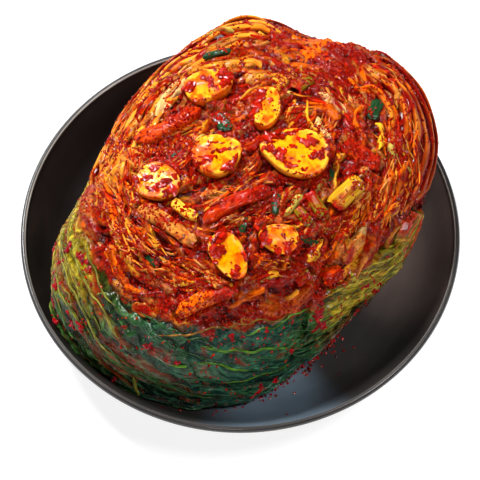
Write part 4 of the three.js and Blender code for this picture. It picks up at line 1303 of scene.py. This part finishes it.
def scatter_clots(tree):
    """Dabs of chilli paste on the garlic, on the leaves and over the red top."""
    rng = np.random.default_rng(31)
    heap = Heap()
    ball = pebble()
    for x, y, length, width, _, clove_turn in CLOVES:
        c, s = math.cos(math.radians(clove_turn)), math.sin(math.radians(clove_turn))
        for _ in range(int(length * width / 44)):
            reach, turn = 0.46 * math.sqrt(rng.uniform(0, 1)), rng.uniform(0, 2 * math.pi)
            u, v = length * reach * math.cos(turn), width * reach * math.sin(turn)
            angle, level = above(x + u * c - v * s, y + u * s + v * c)
            add_clot(heap, tree, ball, angle, level, rng.uniform(1.6, 7.0), rng, CLOT_RED, 1.5)
    for _ in range(LEAF_CLOTS):
        angle = math.radians(rng.uniform(*LEAF_CLOT_SPAN))
        level = red_edge(math.degrees(angle)) - 0.02 - 0.32 * rng.uniform(0, 1) ** 1.3
        add_clot(heap, tree, ball, angle, level, 1.3 + rng.exponential(1.5), rng, LEAF_CLOT_RED)
    for _ in range(TOP_CLOTS):
        x, y, _, _ = random_spot(rng, 0.9)
        angle, level = above(x, y)
        add_clot(heap, tree, ball, angle, level, rng.uniform(1.2, 3.4), rng, PASTE_RED * 1.3)
    return heap.build("chilli_clots", CLOT, slot="chilli_cabbage", crisp=True)


def scatter_juice():
    """Drops of red juice and stray bits on the dish round the foot of the heap."""
    rng = np.random.default_rng(43)
    heap = Heap()
    ball = pebble()
    for _ in range(JUICE_DROPS):
        angle = math.radians(rng.uniform(*JUICE_SPAN))
        foot = skin(angle, 0.3, 0.0)
        radius = math.hypot(foot[0], foot[1]) - 3.0 + rng.exponential(1.1 if rng.random() < 0.85 else 5.0)
        if radius > DISH_RADIUS - DISH_LIP - 2.5:
            continue
        outward = unit(foot * (1.0, 1.0, 0.0))
        slope = dish_height(radius + 0.5) - dish_height(radius - 0.5)
        normal = unit(np.array([0.0, 0.0, 1.0]) - slope * outward)
        size = rng.uniform(0.25, 0.8)
        shape = ball[0] * (size * np.array([rng.uniform(0.9, 1.6), 1.0, rng.uniform(0.3, 0.6)]))
        shape = shape * (1 + 0.25 * noise(shape + rng.uniform(0, 90), size, 1))[:, None]
        spot = radius * outward + np.array([0.0, 0.0, dish_height(radius)])
        placed = shape @ turned(normal, rng.uniform(0, np.pi)).T + spot
        kind = rng.random()
        colour = CLOT_RED * 0.6 if kind < 0.5 else LEAF_CLOT_RED if kind < 0.75 else DEEP_RED
        heap.add(placed, ball[1], colour)
    return heap.build("juice_drops", CLOT, slot="chilli_cabbage")


# ---- camera, light and floor ----
IMAGE_SIZE = 480
SENSOR = 36.0
CAMERA_DISTANCE = 850.0
CAMERA_ELEVATION = 61.25
RIM_HALF_WIDTH_PX = 219.7  # half the rim's width in the image
AIM_PX = (240.2, 226.2)  # where the middle of the rim plane falls
LAMP_TARGET = (0, 0, 0.05)
FLOOR_HALF = 1.6


def build_camera():
    elevation = math.radians(CAMERA_ELEVATION)
    data = bpy.data.cameras.new("camera")
    data.sensor_width = SENSOR
    focal_px = RIM_HALF_WIDTH_PX * CAMERA_DISTANCE / DISH_RADIUS
    data.lens = focal_px * SENSOR / IMAGE_SIZE
    data.shift_x = (IMAGE_SIZE / 2 - AIM_PX[0]) / IMAGE_SIZE
    data.shift_y = (AIM_PX[1] - IMAGE_SIZE / 2) / IMAGE_SIZE
    data.clip_start = 0.05
    data.clip_end = 10.0
    camera = bpy.data.objects.new("camera", data)
    back = Vector((0, -math.cos(elevation), math.sin(elevation)))
    camera.location = Vector((0, 0, DISH_HEIGHT * MM)) + back * CAMERA_DISTANCE * MM
    camera.rotation_euler = (math.pi / 2 - elevation, 0, 0)
    bpy.context.collection.objects.link(camera)
    bpy.context.scene.camera = camera


def area_light(name, place, size, power, colour=(1, 1, 1)):
    """A rectangular lamp that looks at the heap: place and size in metres, power in watts."""
    data = bpy.data.lights.new(name, "AREA")
    data.shape = "RECTANGLE"
    data.size, data.size_y = size
    data.energy = power
    data.color = colour
    light = bpy.data.objects.new(name, data)
    light.location = place
    light.rotation_euler = (Vector(LAMP_TARGET) - Vector(place)).to_track_quat("-Z", "Y").to_euler()
    bpy.context.collection.objects.link(light)


def build_studio():
    corners = [(-1, -1), (1, -1), (1, 1), (-1, 1)]
    mesh = bpy.data.meshes.new("floor")
    mesh.from_pydata([(x * FLOOR_HALF, y * FLOOR_HALF, 0) for x, y in corners], [], [(0, 1, 2, 3)])
    material, *_ = new_material("pale_floor", {
        "Base Color": (0.35, 0.35, 0.35, 1), "Roughness": 0.9, "Specular IOR Level": 0.1,
        "Emission Color": (1, 1, 1, 1), "Emission Strength": 0.8})
    mesh.materials.append(material)
    floor = bpy.data.objects.new("floor", mesh)
    bpy.context.collection.objects.link(floor)
    world = bpy.data.worlds.new("studio")
    world.use_nodes = True
    world.node_tree.nodes["Background"].inputs["Color"].default_value = (1.0, 1.0, 1.0, 1)
    world.node_tree.nodes["Background"].inputs["Strength"].default_value = 0.025
    bpy.context.scene.world = world
    area_light("key", (-0.5, 0.55, 1.0), (0.3, 0.3), 27)
    area_light("front_fill", (-0.1, -0.9, 0.75), (0.2, 0.2), 3.5)
    area_light("top_right", (0.55, -0.1, 1.15), (0.3, 0.3), 9)
    area_light("sky_panel", (0.3, 0.62, 1.05), (0.8, 0.4), 0.5, (0.9, 0.97, 1.0))
    bpy.context.scene.view_settings.view_transform = "Standard"


# ---- everything, in the order in which it lies ----
build_camera()
build_studio()
build_dish()
red = [build_top(), build_side(), build_leaf_edges()]
toppings = build_toppings()
leaves = [build_leaf(400 + i, *leaf) for i, leaf in enumerate(LEAVES)]
red.append(build_scraps(surface_tree(red)))
red.append(build_fibres(surface_tree(red)))
laid = surface_tree([*red, *toppings, *leaves])
build_veins(laid)
scatter_flakes(laid)
scatter_clots(laid)
scatter_juice()
